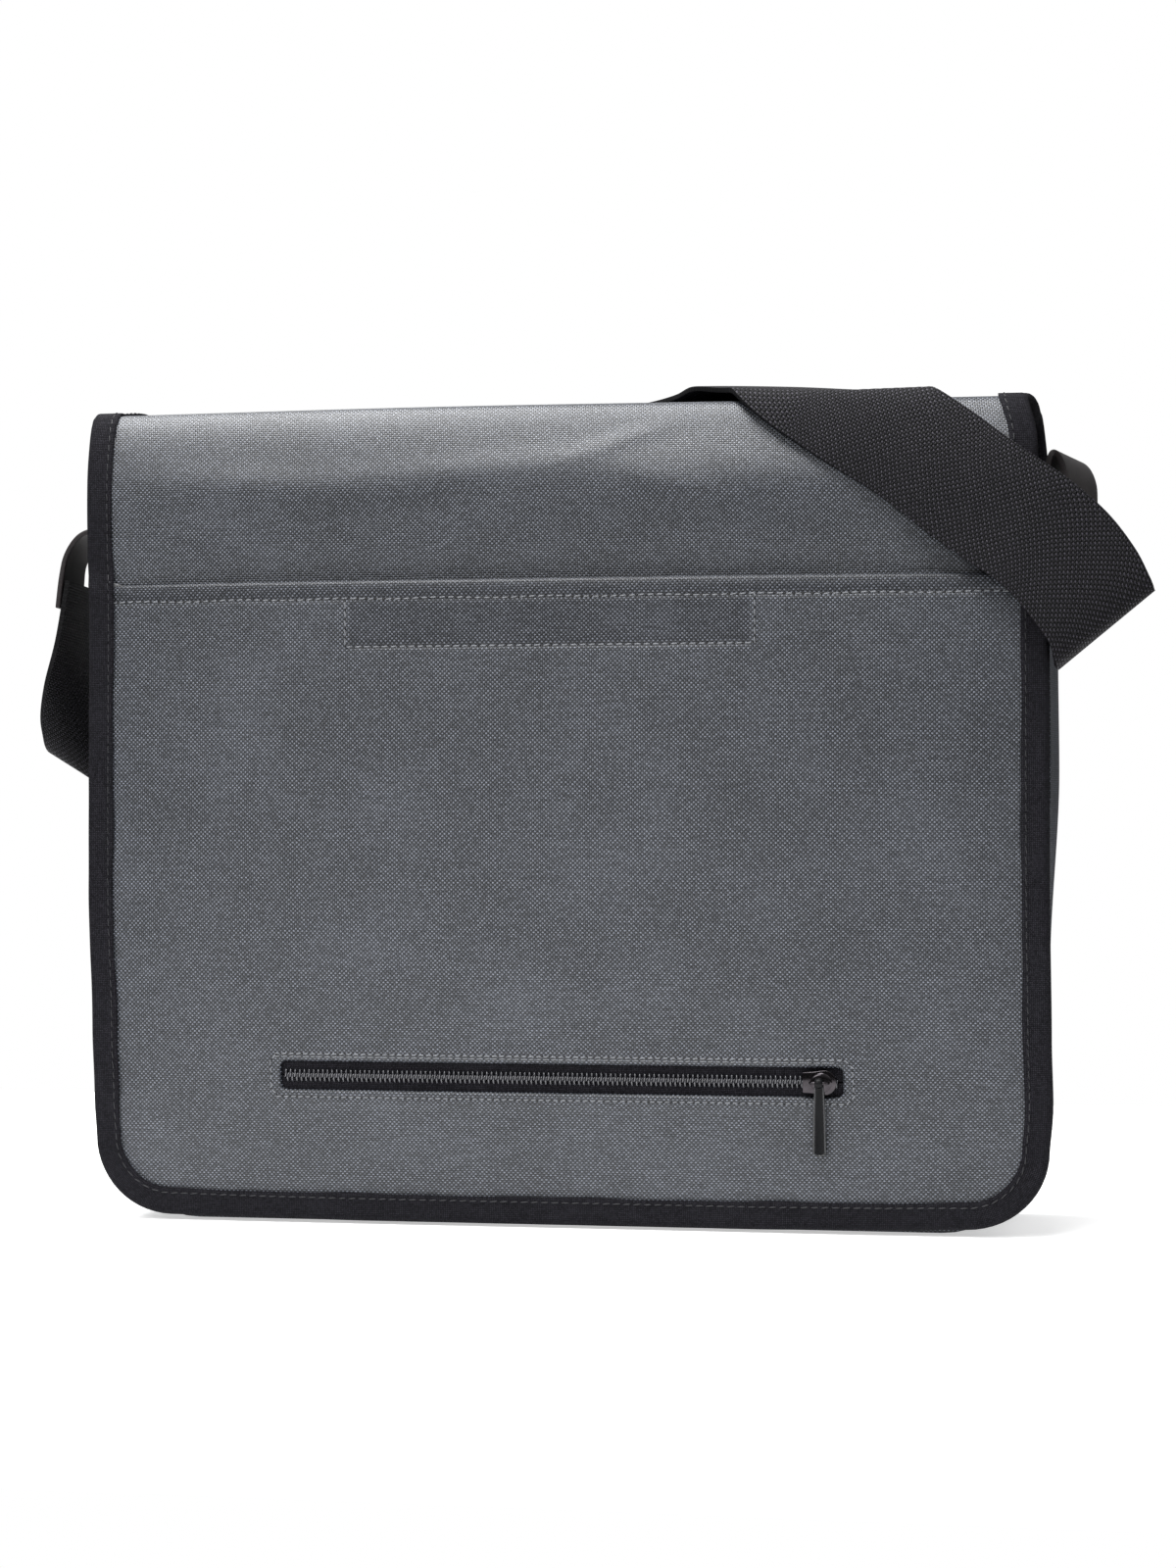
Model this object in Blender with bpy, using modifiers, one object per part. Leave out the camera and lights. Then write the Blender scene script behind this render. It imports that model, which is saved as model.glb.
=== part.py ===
import math

import bmesh
import bpy
from mathutils import Matrix, Vector

# A messenger style laptop bag, standing upright.
# Metres, +Z up, +X to the right seen from the front, the flap faces -Y.
# The origin is the middle of the base, on the floor.

# The whole bag
BAG_H = 0.344            # floor to the top of the fold
BAG_D = 0.084            # across the outer faces of the front and back panels
BODY_W = 0.403           # across the outer faces of the gusset
BODY_CORNER_R = 0.036    # lower corners of the body
FRONT_PANEL_DROP = 0.038  # from the top of the fold down to its upper edge
BACK_PANEL_DROP = 0.030
GUSSET_DROP = 0.046
GUSSET_BOW = 0.0035      # how far the gusset sags in between its seams
PANEL_CROWN = 0.0012     # how far the front and back panels swell

# Cloth and the gap that neighbours keep
CLOTH = 0.0016
GAP = 0.0004

# The flap
FLAP_WIDER = 0.002       # than the body, across the bound edges
FLAP_FOOT = 0.001        # height of the bound lower edge above the floor
FLAP_CORNER_R = 0.032
FLAP_SLACK = 0.0030      # room between the front panel and the flap
FLAP_LAP = 0.020         # how far the flap is lapped over the back panel
SHOULDER_H = 0.047       # the rounded front shoulder of the fold
SHOULDER_D = 0.014
BACK_SHOULDER_H = 0.027
BACK_SHOULDER_D = 0.018
TOP_RISE = 0.003         # how far the fold is domed

# The binding tape
BINDING_REACH = 0.0102
BINDING_T = 0.0008

# The document pocket on the flap
POCKET_DROP = 0.078      # from the top of the fold down to its open edge
POCKET_T = 0.0014
POCKET_GAPE = 0.007      # how far it stands off the flap at the mouth

# The zip in the pocket panel
ZIP_SLOT_L = 0.2364
ZIP_SLOT_H = 0.0127
ZIP_SLOT_R = 0.0030       # its rounded corners
ZIP_X = -0.0004          # middle of the slot
ZIP_Z = 0.0615
ZIP_TAPE_T = 0.0007
ZIP_TAPE_REACH = 0.0100  # from the middle of the coil to the tape's edge
ZIP_TAPE_OVER = 0.004    # past each end of the slot
COIL_W = 0.0043
COIL_T = 0.0012
SLIDER_IN = 0.0100       # from the slot's right end in to the slider's middle
SLIDER_L = 0.0138
SLIDER_H = 0.0104
SLIDER_ROOF = 0.0009
SLIDER_MOUTH_SHARE = 0.86  # width of its straight mouth beside its widest part
SLIDER_NOSE_SHARE = 1.1    # length of its round nose beside half its width
BRIDGE_SPAN = 0.0074
BRIDGE_R = 0.00065
BRIDGE_RISE = 0.0021     # from the slider's roof to the middle of the bridge
PULL_L = 0.0300
PULL_W = 0.0044
PULL_T = 0.0015
PULL_EYE_W = 0.0036
PULL_EYE_WALL = 0.0006
PULL_PLAY = 0.00035      # round the bridge
PULL_NECK_SHARE = 0.82   # width of its neck beside its own
PULL_FOOT_SHARE = 1.08   # width of its rounded foot
PULL_NECK_END = 0.12     # shares of its length where the neck starts to widen
PULL_FULL_WIDTH = 0.20   # and where it has its full width

# The shoulder strap and the tabs that hold it
STRAP_W = 0.050
STRAP_T = 0.0020
TAB_W = 0.046
TAB_T = 0.0022
TAB_DROP = 0.086         # from the top of the fold down to the sewn patch's foot
TAB_SEAM = 0.0006        # between the patch and the gusset

# The flap's width follows the body's, heights follow the height of the bag, and
# the slider's place follows the slot's end
FLAP_W = BODY_W + FLAP_WIDER
FRONT_PANEL_TOP = BAG_H - FRONT_PANEL_DROP
BACK_PANEL_TOP = BAG_H - BACK_PANEL_DROP
GUSSET_TOP = BAG_H - GUSSET_DROP
POCKET_MOUTH = BAG_H - POCKET_DROP
TAB_SEWN = BAG_H - TAB_DROP
SLIDER_X = ZIP_X + ZIP_SLOT_L / 2 - SLIDER_IN

# Width of the flap and how far it leans to the right, both as shares of its
# width, along its length from its lower edge over the fold
FLAP_SHARES = (
    (0.00, 0.981, 0.0020),
    (0.06, 0.987, 0.0025),
    (0.11, 0.994, 0.0030),
    (0.17, 0.995, 0.0010),
    (0.30, 0.998, -0.0020),
    (0.56, 0.998, -0.0020),
    (0.62, 0.998, -0.0050),
    (0.70, 0.991, -0.0100),
    (0.76, 0.980, -0.0170),
    (0.86, 0.980, -0.0090),
    (1.00, 0.980, 0.0000),
)

# How far the flap's lower corners are drawn up: share of the flap's width
# across, share of the corner's radius up
FOOT_RISE_SHARES = (
    (-0.50, 0.03),
    (-0.42, 0.03),
    (-0.30, 0.01),
    (-0.20, 0.00),
    (0.20, 0.00),
    (0.30, 0.02),
    (0.42, 0.05),
    (0.50, 0.05),
)

# Width and depth of the body from the floor up
BODY_SHARES = (
    # up, width, depth
    (0.00, 0.940, 0.960),
    (0.12, 0.958, 0.990),
    (0.30, 0.980, 1.000),
    (0.55, 1.000, 1.000),
    (0.70, 0.998, 1.000),
    (0.84, 0.988, 1.000),
    (1.00, 0.980, 1.000),
)

# Soft dents in the flap: shares of the flap's width, its length and its slack
FLAP_DENT_SHARES = (
    # across, along, wide, tall, depth
    (0.28, 0.60, 0.05, 0.09, -0.30),
    (0.12, 0.68, 0.16, 0.03, 0.45),
    (-0.35, 0.40, 0.12, 0.07, 0.30),
    (0.36, 0.26, 0.10, 0.08, -0.35),
    (-0.10, 0.22, 0.18, 0.06, 0.25),
    (-0.42, 0.03, 0.08, 0.04, -0.40),
    (0.30, 0.02, 0.10, 0.04, 0.40),
    (-0.12, 0.79, 0.34, 0.10, 0.45),
)

# The strap where it lies over the bag: across as a share of half the body's
# width, along as a share of the whole way round from the flap's foot over the
# fold to the floor behind, lift as a share of the strap's width
STRAP_OVER_SHARES = (
    (0.968, 0.3780, 0.210),
    (0.857, 0.3995, 0.145),
    (0.795, 0.4132, 0.115),
    (0.730, 0.4270, 0.090),
    (0.655, 0.4402, 0.080),
    (0.590, 0.4520, 0.075),
    (0.525, 0.4650, 0.085),
    (0.455, 0.4840, 0.115),
    (0.385, 0.5060, 0.130),
    (0.310, 0.5300, 0.110),
    (0.190, 0.5500, 0.095),
    (0.030, 0.5690, 0.090),
    (-0.140, 0.5870, 0.095),
    (-0.310, 0.6070, 0.105),
    (-0.471, 0.6290, 0.110),
    (-0.695, 0.6730, 0.110),
)

# Its free lengths, as shares of half the body's width, half its depth and its
# height, with the direction from one edge of the webbing to the other
STRAP_RIGHT_SHARES = (
    # across, deep, up, edge
    (1.028, -1.369, 0.7919, (-0.67, 0.00, -0.74)),
    (1.082, -1.381, 0.7500, (-0.69, 0.00, -0.72)),
    (1.103, -1.350, 0.7220, (-0.75, 0.04, -0.66)),
    (1.108, -1.230, 0.7110, (-0.77, 0.12, -0.62)),
    (1.108, -1.050, 0.7165, (-0.73, 0.35, -0.58)),
    (1.094, -0.760, 0.7500, (-0.56, 0.73, -0.38)),
    (1.070, -0.380, 0.8000, (-0.36, 0.92, -0.15)),
    (1.042, -0.120, 0.8420, (0.17, 0.98, 0.00)),
    (1.031, -0.020, 0.8760, (0.20, 0.98, 0.00)),
    (1.029, -0.010, 0.9000, (0.20, 0.98, 0.00)),
)
STRAP_LEFT_SHARES = (
    (-0.850, 1.260, 0.6150, (-0.57, -0.08, 0.82)),
    (-0.980, 1.130, 0.5650, (-0.58, -0.30, 0.75)),
    (-1.065, 0.860, 0.5370, (-0.59, -0.52, 0.62)),
    (-1.115, 0.560, 0.5430, (-0.58, -0.66, 0.48)),
    (-1.128, 0.300, 0.5820, (-0.44, -0.82, 0.36)),
    (-1.130, 0.130, 0.6430, (-0.20, -0.96, 0.18)),
    (-1.122, 0.040, 0.7130, (0.02, -1.00, 0.04)),
    (-1.112, 0.000, 0.7900, (0.14, -0.99, 0.00)),
)

# The free arch of each tab: across is a share of half the body's width, up is
# a share of the bag's height, turn swings its edge about the upright, degrees
TAB_RIGHT_SHARES = (
    # across, deep, up, turn
    (0.990, 0.00, 0.878, 0.0),
    (0.999, 0.00, 0.910, -4.0),
    (1.018, 0.00, 0.926, -9.0),
    (1.038, 0.00, 0.920, -12.0),
    (1.052, 0.00, 0.898, -13.0),
    (1.055, -0.01, 0.864, -12.0),
)
TAB_LEFT_SHARES = (
    (0.992, 0.00, 0.814, 0.0),
    (1.010, 0.00, 0.838, -2.0),
    (1.045, 0.00, 0.852, -5.0),
    (1.088, 0.00, 0.846, -8.0),
    (1.118, 0.00, 0.824, -9.0),
    (1.128, 0.00, 0.796, -8.0),
    (1.133, 0.01, 0.756, -6.0),
)

# How finely the soft pieces are divided
FLAP_COLUMNS = 12
PANEL_COLUMNS = 10
PANEL_ROWS = 9
CORNER_STEPS = 5
GUSSET_COLUMNS = 6
TAB_COLUMNS = 4
TAB_PATCH_ROWS = 3
STRAP_COLUMNS = 6
STRAP_STEPS = 3
PROFILE_STEPS = 24


def clear_scene():
    for obj in list(bpy.data.objects):
        bpy.data.objects.remove(obj, do_unlink=True)


def make_collection(name):
    collection = bpy.data.collections.new(name)
    bpy.context.scene.collection.children.link(collection)
    return collection


def make_material(name, color, roughness, metallic=0.0):
    material = bpy.data.materials.new(name)
    material.use_nodes = True
    shader = material.node_tree.nodes["Principled BSDF"]
    shader.inputs["Base Color"].default_value = (*color, 1.0)
    shader.inputs["Roughness"].default_value = roughness
    shader.inputs["Metallic"].default_value = metallic
    return material


def object_from(name, mesh, material, collection):
    obj = bpy.data.objects.new(name, mesh)
    mesh.materials.clear()
    mesh.materials.append(material)
    collection.objects.link(obj)
    return obj


def loft(name, rows, material, collection):
    """An open sheet through rows of points, one row after the other."""
    bm = bmesh.new()
    grid = [[bm.verts.new(point) for point in row] for row in rows]
    for low, high in zip(grid, grid[1:]):
        for i in range(len(low) - 1):
            bm.faces.new((low[i], low[i + 1], high[i + 1], high[i]))
    mesh = bpy.data.meshes.new(name)
    bm.to_mesh(mesh)
    bm.free()
    mesh.shade_smooth()
    return object_from(name, mesh, material, collection)


def thicken(obj, thickness):
    solidify = obj.modifiers.new("thickness", "SOLIDIFY")
    solidify.thickness = thickness
    solidify.offset = 0.0
    solidify.use_even_offset = True
    return obj


def boolean(obj, other, operation):
    step = obj.modifiers.new(operation.lower(), "BOOLEAN")
    step.operation = operation
    step.object = other
    step.solver = "EXACT"
    other.hide_render = True
    other.display_type = "WIRE"


def read_table(table, where, column):
    """A smooth reading between the rows of a table, by its first column."""
    if where <= table[0][0]:
        return table[0][column]
    for low, high in zip(table, table[1:]):
        if where <= high[0]:
            part = (where - low[0]) / (high[0] - low[0])
            part = part * part * (3 - 2 * part)
            return low[column] + (high[column] - low[column]) * part
    return table[-1][column]


def smooth_between(rows, steps):
    """Rows on a smooth curve through the given rows, steps for each span."""
    out = []
    last = len(rows) - 1
    for i in range(last):
        before, here = rows[max(i - 1, 0)], rows[i]
        there, after = rows[i + 1], rows[min(i + 2, last)]
        for k in range(steps):
            t = k / steps
            row = []
            for a, b, c, d in zip(before, here, there, after):
                row.append(0.5 * (2 * b + (c - a) * t
                                  + (2 * a - 5 * b + 4 * c - d) * t * t
                                  + (3 * b - a - 3 * c + d) * t ** 3))
            out.append(row)
    out.append(rows[-1])
    return out


def fold_profile():
    """The flap's middle surface from the side, up the front, over the fold and
    down the back: (y, z) points about evenly spaced."""
    front = -(BAG_D / 2 + FLAP_SLACK + CLOTH / 2)
    back = BAG_D / 2 - PANEL_CROWN + GAP + BINDING_T + GAP + CLOTH / 2
    crest = BAG_H - CLOTH / 2 - TOP_RISE
    points = []
    foot = FLAP_FOOT + BINDING_T + GAP
    rise = crest - SHOULDER_H - foot
    for i in range(PROFILE_STEPS):
        points.append((front, foot + rise * i / PROFILE_STEPS))
    for i in range(PROFILE_STEPS):
        turn = math.pi / 2 * i / PROFILE_STEPS
        points.append((front + SHOULDER_D * (1 - math.cos(turn)),
                       crest - SHOULDER_H + SHOULDER_H * math.sin(turn)))
    start = front + SHOULDER_D
    span = back - BACK_SHOULDER_D - start
    for i in range(PROFILE_STEPS):
        part = i / PROFILE_STEPS
        points.append((start + span * part,
                       crest + TOP_RISE * math.sin(math.pi * part) ** 2))
    for i in range(PROFILE_STEPS):
        turn = math.pi / 2 * (1 - i / PROFILE_STEPS)
        points.append((back - BACK_SHOULDER_D * (1 - math.cos(turn)),
                       crest - BACK_SHOULDER_H + BACK_SHOULDER_H * math.sin(turn)))
    drop = crest - BACK_SHOULDER_H
    for i in range(PROFILE_STEPS + 1):
        points.append((back, drop * (1 - i / PROFILE_STEPS)))
    return points


class Fold:
    """Places on the flap's surface by their way up the front and over."""

    def __init__(self):
        self.points = [Vector(p) for p in fold_profile()]
        self.along = [0.0]
        for a, b in zip(self.points, self.points[1:]):
            self.along.append(self.along[-1] + (b - a).length)
        self.whole = self.along[-1]
        self.normals = []
        last = len(self.points) - 1
        for i in range(last + 1):
            way = self.points[min(i + 1, last)] - self.points[max(i - 1, 0)]
            self.normals.append(Vector((-way.y, way.x)).normalized())
        self.crest = self.along[PROFILE_STEPS * 2]
        self.shoulder = self.along[PROFILE_STEPS]
        self.back = self.along[PROFILE_STEPS * 4]
        self.seam = self.at_back(BACK_PANEL_TOP - FLAP_LAP)

    def at_back(self, height):
        """The way round to a height on the flat back."""
        return self.back + self.points[PROFILE_STEPS * 4].y - height

    def at_front(self, height):
        return height - self.points[0].y

    def side(self, s):
        """Point and outward direction in the side view."""
        s = min(max(s, 0.0), self.whole)
        for i, there in enumerate(self.along[1:]):
            if s <= there:
                part = (s - self.along[i]) / (there - self.along[i])
                point = self.points[i].lerp(self.points[i + 1], part)
                normal = self.normals[i].lerp(self.normals[i + 1], part)
                return point, normal.normalized()
        return self.points[-1], self.normals[-1]

    def place(self, x, s, lift):
        """A point at a lift over the flap's middle surface."""
        point, normal = self.side(s)
        out = lift + dents(x, s, self.seam)
        x += FLAP_W * read_table(FLAP_SHARES, s / self.seam, 2)
        rise = foot_rise(x, s)
        return Vector((x, point.x + normal.x * out, point.y + normal.y * out + rise))


def foot_rise(x, s):
    """How far the lower edge is drawn up towards the flap's corners."""
    fade = max(1 - s / (2 * FLAP_CORNER_R), 0.0)
    return FLAP_CORNER_R * read_table(FOOT_RISE_SHARES, x / FLAP_W, 1) * fade * fade


def dents(x, s, length):
    depth = 0.0
    for across, along, wide, tall, share in FLAP_DENT_SHARES:
        far = ((x / FLAP_W - across) / wide) ** 2 + ((s / length - along) / tall) ** 2
        depth += share * FLAP_SLACK * math.exp(-far)
    return depth


def flap_half(fold, s):
    """Half the width of the flap's cloth, inside its binding."""
    edge = FLAP_W / 2 * read_table(FLAP_SHARES, s / fold.seam, 1)
    half = edge - BINDING_T - GAP
    if s >= FLAP_CORNER_R:
        return half
    rest = FLAP_CORNER_R - s
    return half - FLAP_CORNER_R + math.sqrt(max(FLAP_CORNER_R ** 2 - rest ** 2, 0.0))


def corner_heights(radius):
    """Heights over a rounded corner, from its foot up."""
    steps = range(CORNER_STEPS)
    return [radius * (1 - math.cos(math.pi / 2 * k / CORNER_STEPS)) for k in steps]


def front_rows(fold, top):
    """Ways up the flat front, from the rounded foot to a height."""
    end = fold.at_front(top)
    start = FLAP_CORNER_R
    count = PANEL_ROWS
    flat = [start + (end - start) * k / count for k in range(count + 1)]
    return sorted(corner_heights(start) + [seam_reach()]) + flat


def seam_reach():
    """From the edge of the cloth to just inside the binding."""
    return BINDING_REACH + GAP


def cloth_columns(half):
    """Places across the flap: its edges, its seams and evenly between."""
    inside = half - seam_reach()
    return [-half] + [u * inside for u in even(FLAP_COLUMNS)] + [half]


def flap_rows(fold):
    """Ways along the whole flap, closer where it bends."""
    rows = front_rows(fold, POCKET_MOUTH)
    bend = fold.shoulder
    rows.append((rows[-1] + bend) / 2)
    for k in range(8):
        rows.append(bend + (fold.crest - bend) * k / 8)
    top = fold.along[PROFILE_STEPS * 3]
    for k in range(5):
        rows.append(fold.crest + (top - fold.crest) * k / 5)
    for k in range(6):
        rows.append(top + (fold.back - top) * k / 6)
    rows.append(fold.back)
    rows.append(fold.seam)
    return rows


def even(count):
    return [-1 + 2 * k / count for k in range(count + 1)]


def lap_tuck(fold, x, s):
    """How far the flap's end comes in, between its bindings, to the back panel."""
    inside = flap_half(fold, s) - seam_reach()
    if s < fold.seam or abs(x) > inside * (1 - 1 / FLAP_COLUMNS):
        return 0.0
    return BINDING_T + GAP


def make_flap(fold, material, collection):
    rows = []
    for s in flap_rows(fold):
        columns = cloth_columns(flap_half(fold, s))
        rows.append([fold.place(x, s, -lap_tuck(fold, x, s)) for x in columns])
    return thicken(loft("flap", rows, material, collection), CLOTH)


def pocket_lift(fold, x, s):
    """How far the pocket panel's middle stands over the flap's."""
    seam = seam_reach()
    lift = CLOTH / 2 + GAP + POCKET_T / 2
    across = abs(x) / (flap_half(fold, s) - seam)
    up = (s - seam) / (fold.at_front(POCKET_MOUTH) - seam)
    if across >= 1 or up <= 0:
        return lift
    swell = (1 - across ** 4) * (1 - (1 - min(up, 1.0)) ** 3)
    return lift + POCKET_GAPE * swell


def make_slot_cutter(fold, material, collection):
    """A bar with rounded corners that cuts the zip's slot."""
    s = fold.at_front(ZIP_Z)
    centre = fold.place(ZIP_X, s, 0.0)
    depth = 2 * (POCKET_GAPE + CLOTH + POCKET_T) + FLAP_SLACK
    flat_l, flat_h = ZIP_SLOT_L / 2 - ZIP_SLOT_R, ZIP_SLOT_H / 2 - ZIP_SLOT_R
    curve = bpy.data.curves.new("slot_outline", "CURVE")
    curve.dimensions = "2D"
    curve.fill_mode = "BOTH"
    curve.extrude = depth / 2
    spline = curve.splines.new("POLY")
    outline = []
    for corner, (end, side) in enumerate(((1, -1), (1, 1), (-1, 1), (-1, -1))):
        for k in range(CORNER_STEPS):
            turn = math.pi / 2 * (corner - 1 + k / (CORNER_STEPS - 1))
            outline.append((end * flat_l + ZIP_SLOT_R * math.cos(turn),
                            side * flat_h + ZIP_SLOT_R * math.sin(turn)))
    spline.points.add(len(outline) - 1)
    for point, (x, y) in zip(spline.points, outline):
        point.co = (x, y, 0, 1)
    spline.use_cyclic_u = True
    holder = bpy.data.objects.new("slot_outline", curve)
    collection.objects.link(holder)
    holder.location = centre + Vector((0, -depth / 2 - CLOTH, 0))
    holder.rotation_euler = (math.pi / 2, 0, 0)
    return meshed(holder, "slot_cutter", material, collection)


def meshed(holder, name, material, collection):
    """Turn a curve object into a mesh object with welded caps."""
    bpy.context.view_layer.update()
    graph = bpy.context.evaluated_depsgraph_get()
    mesh = bpy.data.meshes.new_from_object(holder.evaluated_get(graph))
    bm = bmesh.new()
    bm.from_mesh(mesh)
    bmesh.ops.remove_doubles(bm, verts=bm.verts, dist=0.00001)
    bmesh.ops.recalc_face_normals(bm, faces=bm.faces)
    bm.to_mesh(mesh)
    bm.free()
    obj = object_from(name, mesh, material, collection)
    obj.matrix_world = holder.matrix_world
    bpy.data.objects.remove(holder, do_unlink=True)
    return obj


def make_pocket(fold, material, collection, cutters):
    rows = []
    for s in front_rows(fold, POCKET_MOUTH):
        half = flap_half(fold, s)
        rows.append([fold.place(x, s, pocket_lift(fold, x, s)) for x in cloth_columns(half)])
    panel = thicken(loft("pocket_panel", rows, material, collection), POCKET_T)
    boolean(panel, make_slot_cutter(fold, material, cutters), "DIFFERENCE")
    return panel


def make_binding(fold, material, collection):
    """Tape folded round the flap's sides and foot, over the pocket's edges."""
    sides = [s for s in flap_rows(fold) if s >= FLAP_CORNER_R]
    path = [(-flap_half(fold, s), s, 1.0, 0.0) for s in reversed(sides)]
    half = flap_half(fold, FLAP_CORNER_R)
    radius = FLAP_CORNER_R
    for k in range(1, CORNER_STEPS):
        turn = math.pi / 2 * k / CORNER_STEPS
        inward = (math.cos(turn), math.sin(turn))
        path.append((-half + radius * (1 - inward[0]), radius * (1 - inward[1]), *inward))
    count = FLAP_COLUMNS
    for k in range(count // 2 + 1):
        path.append(((-half + radius) * (1 - 2 * k / count), 0.0, 0.0, 1.0))
    path += [(-x, s, -inx, ins) for x, s, inx, ins in reversed(path[:-1])]
    mouth = fold.at_front(POCKET_MOUTH)
    rows = []
    for x, s, inx, ins in path:
        over = 1.0 if s <= mouth + GAP else 0.0
        front = CLOTH / 2 + GAP + BINDING_T / 2 + over * (POCKET_T + GAP)
        back = -(CLOTH / 2 + GAP + BINDING_T / 2)
        out = -(GAP + BINDING_T / 2)
        section = ((BINDING_REACH, front), (out, front), (out, back), (BINDING_REACH, back))
        rows.append([edge_place(fold, x + inx * a, s + ins * a, h) for a, h in section])
    return thicken(loft("flap_binding", rows, material, collection), BINDING_T)


def edge_place(fold, x, s, lift):
    """As Fold.place, but it may lie a little below the flap's foot."""
    point = fold.place(x, max(s, 0.0), lift)
    point.z += min(s, 0.0)
    return point


def body_half(z):
    return BODY_W / 2 * read_table(BODY_SHARES, z / BAG_H, 1)


def body_depth(z):
    """Half the depth to the outer faces of the panels."""
    return BAG_D / 2 * read_table(BODY_SHARES, z / BAG_H, 2)


def body_levels(top):
    low = corner_heights(BODY_CORNER_R)
    start = BODY_CORNER_R
    return low + [start + (top - start) * k / PANEL_ROWS for k in range(PANEL_ROWS + 1)]


def rounded_half(z):
    """Half the body's width, with its rounded lower corners."""
    if z >= BODY_CORNER_R:
        return body_half(z)
    rest = BODY_CORNER_R - z
    inner = body_half(BODY_CORNER_R) - BODY_CORNER_R
    return inner + math.sqrt(max(BODY_CORNER_R ** 2 - rest ** 2, 0.0))


def make_panel(name, side, top, material, collection):
    """The front panel at side -1 or the back panel at side 1."""
    rows = []
    for z in body_levels(top):
        half = rounded_half(z)
        row = []
        for u in even(PANEL_COLUMNS):
            swell = PANEL_CROWN * (1 - u * u) * math.sin(math.pi * min(z / top, 1.0))
            y = body_depth(z) - CLOTH / 2 - PANEL_CROWN + swell
            row.append(Vector((u * half, side * y, z + GAP)))
        rows.append(row)
    return thicken(loft(name, rows, material, collection), CLOTH)


def gusset_reach(z):
    """Half the gusset's depth, between the panels."""
    return body_depth(z) - CLOTH - PANEL_CROWN - GAP


def gusset_sag(z, share, upright):
    """How far the gusset sags in at a share of its half depth."""
    return GUSSET_BOW * upright ** 4 * (1 - share * share) * min(z / BAG_H * 3, 1.0)


def make_gusset(material, collection):
    """The strip down one side, under the bag and up the other side."""
    levels = body_levels(GUSSET_TOP)
    path = [(rounded_half(z), z) for z in reversed(levels[1:])]
    radius = BODY_CORNER_R
    inset = CLOTH / 2
    outline = []
    for half, z in path:
        turn = math.acos(min(max((radius - z) / radius, 0.0), 1.0)) if z < radius else math.pi / 2
        outline.append((-(half - inset * math.sin(turn)), z + inset * math.cos(turn), math.sin(turn)))
    flat = body_half(radius) - radius
    for k in range(PANEL_COLUMNS + 1):
        outline.append((-flat * (1 - 2 * k / PANEL_COLUMNS), inset, 0.0))
    outline += [(-x, z, upright) for x, z, upright in reversed(outline[:len(path)])]
    rows = []
    for x, z, upright in outline:
        row = []
        for share in even(GUSSET_COLUMNS):
            sag = gusset_sag(z, share, upright)
            row.append(Vector((x - math.copysign(sag, x), share * gusset_reach(z), z)))
        rows.append(row)
    return thicken(loft("gusset", rows, material, collection), CLOTH)


def zip_strip(name, fold, low, high, lift, thickness, ends, material, collection):
    """A strip along the zip, between two heights measured from its middle."""
    middle = fold.at_front(ZIP_Z)
    columns = 16
    rows = []
    for edge in (low, high):
        row = []
        for k in range(columns + 1):
            x = ZIP_X + ends[0] + (ends[1] - ends[0]) * k / columns
            row.append(fold.place(x, middle + edge, pocket_lift(fold, x, middle + edge) + lift))
        rows.append(row)
    return thicken(loft(name, rows, material, collection), thickness)


def make_zip(fold, tape, coil, collection):
    half = ZIP_SLOT_L / 2
    past = half + ZIP_TAPE_OVER
    behind = -(POCKET_T / 2 + GAP + ZIP_TAPE_T / 2)
    for name, side in (("zip_tape_upper", 1), ("zip_tape_lower", -1)):
        edges = sorted((side * GAP / 2, side * ZIP_TAPE_REACH))
        zip_strip(name, fold, *edges, behind, ZIP_TAPE_T, (-past, past), tape, collection)
    front = behind + ZIP_TAPE_T / 2 + GAP + COIL_T / 2
    inside = half - GAP * 2
    zip_strip("zip_coil", fold, -COIL_W / 2, COIL_W / 2, front, COIL_T,
              (-inside, inside), coil, collection)


def coil_front():
    """Lift of the coil's face over the pocket panel's middle surface."""
    return -(POCKET_T / 2 + GAP) + GAP + COIL_T


def slider_matrix(fold):
    """Middle of the coil's face under the slider, local +Z outwards."""
    s = fold.at_front(ZIP_Z)
    step = SLIDER_H / 2
    low = fold.place(SLIDER_X, s - step, pocket_lift(fold, SLIDER_X, s - step))
    high = fold.place(SLIDER_X, s + step, pocket_lift(fold, SLIDER_X, s + step))
    up = (high - low).normalized()
    up = Vector((0.0, up.y, up.z)).normalized()
    across = Vector((1.0, 0.0, 0.0))
    out = across.cross(up)
    centre = fold.place(SLIDER_X, s, pocket_lift(fold, SLIDER_X, s)) + out * coil_front()
    turn = Matrix((across, up, out)).transposed().to_4x4()
    return Matrix.Translation(centre) @ turn


def outline_object(name, outline, low, high, material, collection):
    """A flat outline pulled out from one local height to another."""
    curve = bpy.data.curves.new(name, "CURVE")
    curve.dimensions = "2D"
    curve.fill_mode = "BOTH"
    curve.extrude = (high - low) / 2
    spline = curve.splines.new("POLY")
    spline.points.add(len(outline) - 1)
    for point, (x, y) in zip(spline.points, outline):
        point.co = (x, y, 0, 1)
    spline.use_cyclic_u = True
    holder = bpy.data.objects.new(name + "_outline", curve)
    collection.objects.link(holder)
    holder.location.z = (low + high) / 2
    return meshed(holder, name, material, collection)


def set_at(obj, matrix):
    bpy.context.view_layer.update()
    obj.matrix_world = matrix @ obj.matrix_world


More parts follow.
